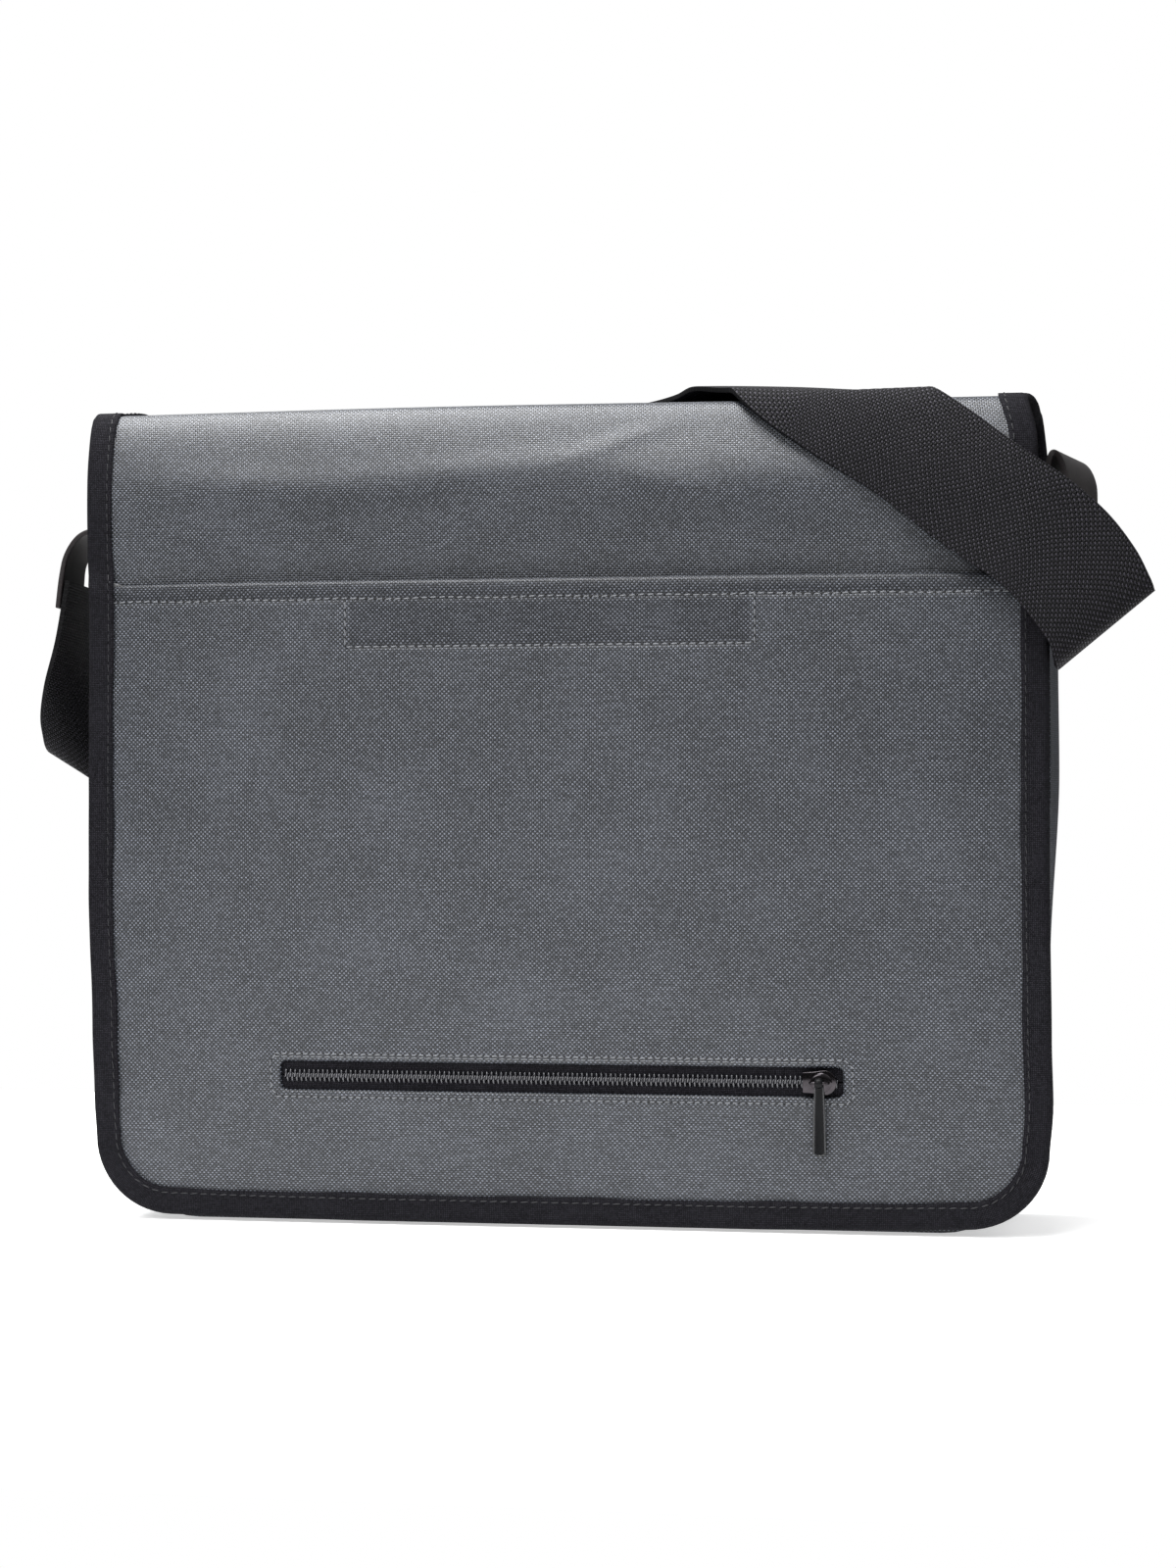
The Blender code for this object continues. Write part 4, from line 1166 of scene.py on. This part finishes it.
def makeZipTapes():
    behind = -(pocketThick / 2 + gap + zipLook["tapeThick"] / 2)
    past = slot["length"] / 2 + zipLook["over"]
    middle = fold.atFront(slot["z"])
    for name, node, side in (("zipTapeUpper", "zip_tape_upper", 1),
                             ("zipTapeLower", "zip_tape_lower", -1)):
        low, high = sorted((side * gap / 2, side * zipLook["tapeReach"]))

        def spot(column, row):
            x = slot["x"] - past + 2 * past * column / zipLook["tapeColumns"]
            return x, middle + low + (high - low) * row / zipLook["tapeRows"]

        def place(column, row):
            x, s = spot(column, row)
            rib = zipLook["rib"] * cos((s - middle) * pi / zipLook["ribPitch"])
            return onPocket(x, s, behind + rib)

        piece = makeSheet(name, zipLook["tapeColumns"], zipLook["tapeRows"], place, spot, tape,
                          zipLook["tapeThick"] * 0.7)
        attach(piece, "bag")
        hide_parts(node)


def coilBase(x, s):
    return onPocket(x, s, -pocketThick / 2 - gap)


def makeCoil():
    # one tooth of the coil is a bent wire; the rows of the two sides lie in turn
    half, high, pitch = zipLook["coilWidth"] / 2, zipLook["coilThick"], zipLook["pitch"]
    bends = [(0.0, half, 0.12), (0.06, half * 0.92, 0.62), (0.1, half * 0.45, 0.84),
             (0.0, -half * 0.1, 0.8), (-0.14, -half * 0.3, 0.55), (-0.2, -half * 0.3, 0.15)]
    tooth = tubePiece("coilTooth", [(a * pitch, b, c * high) for a, b, c in bends],
                      zipLook["wire"], coilNylon, 1)
    middle = fold.atFront(slot["z"])
    matrices = []
    inside = slot["length"] / 2 - zipLook["coilEnds"]
    for k in range(int(2 * inside / pitch)):
        for turn, shift in ((0, 0.0), (pi, pitch / 2)):
            point, out = onSurface(coilBase, slot["x"] - inside + k * pitch + shift, middle)
            along = Vector((1, 0, 0))
            base = Matrix((along, out.cross(along), out)).transposed().to_4x4()
            matrices.append(Matrix.Translation(point) @ base @ Matrix.Rotation(turn, 4, "Z"))
    piece = copiesOf("zipCoil", tooth.data, matrices, coilNylon)
    bpy.data.objects.remove(tooth)
    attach(piece, "bag")
    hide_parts("zip_coil")


def sliderFrame():
    s = fold.atFront(slot["z"])
    x = zipLook["sliderX"]
    step = zipLook["sliderHigh"] / 2
    low = onPocket(x, s - step)
    high = onPocket(x, s + step)
    up = Vector((0, high.y - low.y, high.z - low.z)).normalized()
    across = Vector((1, 0, 0))
    out = across.cross(up)
    centre = onPocket(x, s)
    centre += out * (zipLook["coilThick"] - pocketThick / 2)
    return Matrix.Translation(centre) @ Matrix((across, up, out)).transposed().to_4x4()


def outlinePlate(name, outline, low, high, material, bevel):
    plate = extruded([(x, y, low) for x, y in outline], (0, 0, high - low))
    plate.name = name
    plate.data.materials.append(material)
    if bevel:
        soften(plate, bevel)
    return plate


def tubePiece(name, points, radius, material, bends=3):
    bpy.ops.curve.primitive_bezier_curve_add()
    tube = bpy.context.object
    tube.name = name
    tube.data.splines.clear()
    spline = tube.data.splines.new("POLY")
    spline.points.add(len(points) - 1)
    for point, place in zip(spline.points, points):
        point.co = (*place, 1)
    tube.data.bevel_depth = radius
    tube.data.bevel_resolution = bends
    tube.data.use_fill_caps = True
    pick(tube)
    bpy.ops.object.convert(target="MESH")
    tube = bpy.context.object
    tube.data.materials.append(material)
    return tube


def makeSlider(matrix):
    long, high = zipLook["sliderLong"] / 2, zipLook["sliderHigh"] / 2
    roof = gap + zipLook["roof"]
    nose = long - high * 0.9
    outline = [(-long, high * 0.8), (-long, -high * 0.8), (-long * 0.45, -high * 0.84)]
    outline += [(nose + high * 0.9 * cos(t), high * 0.97 * sin(t)) for t in spread(-pi / 2, pi / 2, 14)]
    outline.append((-long * 0.45, high * 0.84))
    pieces = [outlinePlate("sliderRoof", outline, gap, roof, blackNickel, 0.0003)]
    for side in (1, -1):  # the side walls that grip the coil
        wall = [(-long, side * high * 0.8), (-long, side * high * 0.62),
                (long * 0.5, side * high * 0.7), (long * 0.5, side * high * 0.9)]
        if side < 0:
            wall = wall[::-1]
        pieces.append(outlinePlate("sliderWall", wall, -zipLook["coilThick"], gap * 1.5,
                                   blackNickel, 0.0002))
    bpy.ops.mesh.primitive_uv_sphere_add(segments=28, ring_count=14, radius=1)
    dome = bpy.context.object  # the domed back of the roof
    for vertex in dome.data.vertices:
        x, y, z = vertex.co
        squeeze = 1 - 0.12 * max(-x, 0)
        vertex.co = (nose * 0.3 + x * long * 0.66, y * high * 0.78 * squeeze,
                     roof - 0.0001 + max(z, -0.2) * 0.00085)
    dome.data.materials.append(blackNickel)
    dome.data.shade_smooth()
    pieces.append(dome)
    half = zipLook["bridgeSpan"] / 2
    top = roof + zipLook["bridgeRise"]
    arch = [(-half * cos(t), 0, roof + (top - roof) * sin(t) ** 0.45) for t in spread(0, pi, 16)]
    pieces.append(tubePiece("sliderBridge", arch, zipLook["bridgeWire"], blackNickel))
    slider = joinPieces("zipSlider", pieces)
    smoothBy(40)
    slider.data.transform(matrix)
    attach(slider, "bag")
    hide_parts("zip_slider")


def makePull(matrix):
    hinge = matrix @ Matrix.Translation((0, 0, gap + zipLook["roof"] + zipLook["bridgeRise"]))
    half = zipLook["pullWide"] / 2
    long = zipLook["pullLong"]
    low = -(zipLook["bridgeRise"] - gap)
    base = [(-half * 1.12 * cos(t), -long + half - half * sin(t)) for t in spread(0, pi, 14)]
    sides = [(half, -long * 0.45), (half * 0.88, -long * 0.2), (half * 0.8, -long * 0.08),
             (half * 0.76, -0.0012)]
    loop = base + sides + [(-x, y) for x, y in reversed(sides)]
    plate = outlinePlate("pullPlate", loop, low, low + zipLook["pullThick"] * 0.86, pullCoat, 0)
    pick(plate)  # a shallow panel with a raised rim
    bpy.ops.object.mode_set(mode="EDIT")
    bpy.ops.mesh.select_mode(type="FACE")
    bpy.ops.mesh.select_all(action="DESELECT")
    bpy.ops.object.mode_set(mode="OBJECT")
    for face in plate.data.polygons:
        face.select = face.normal.z > 0.9
    bpy.ops.object.mode_set(mode="EDIT")
    bpy.ops.mesh.inset(thickness=zipLook["rim"], depth=0)
    bpy.ops.mesh.inset(thickness=zipLook["rimSlope"], depth=-zipLook["panelDeep"])
    bpy.ops.object.mode_set(mode="OBJECT")
    plate.data.materials.append(pullRail)
    for face in plate.data.polygons:
        face.material_index = 0 if face.select else 1
    soften(plate, zipLook["pullEdge"], 2)
    wire = zipLook["eyeWire"]
    radius = zipLook["bridgeWire"] + zipLook["eyeRoom"] + wire  # the eye round the bridge
    ring = [(0, radius * cos(t), radius * sin(t)) for t in spread(0, 2 * pi, 24)]
    eye = tubePiece("pullEye", ring, wire, pullCoat)
    for vertex in eye.data.vertices:
        vertex.co.x *= zipLook["eyeWide"]
    pull = joinPieces("zipPull", [plate, eye])
    smoothBy(40)
    pull.data.transform(hinge)
    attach(pull, "pull")
    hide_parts("zip_pull")


makeZipTapes()
makeCoil()
sliderAt = sliderFrame()
makeSlider(sliderAt)
makePull(sliderAt)
print("zip made")
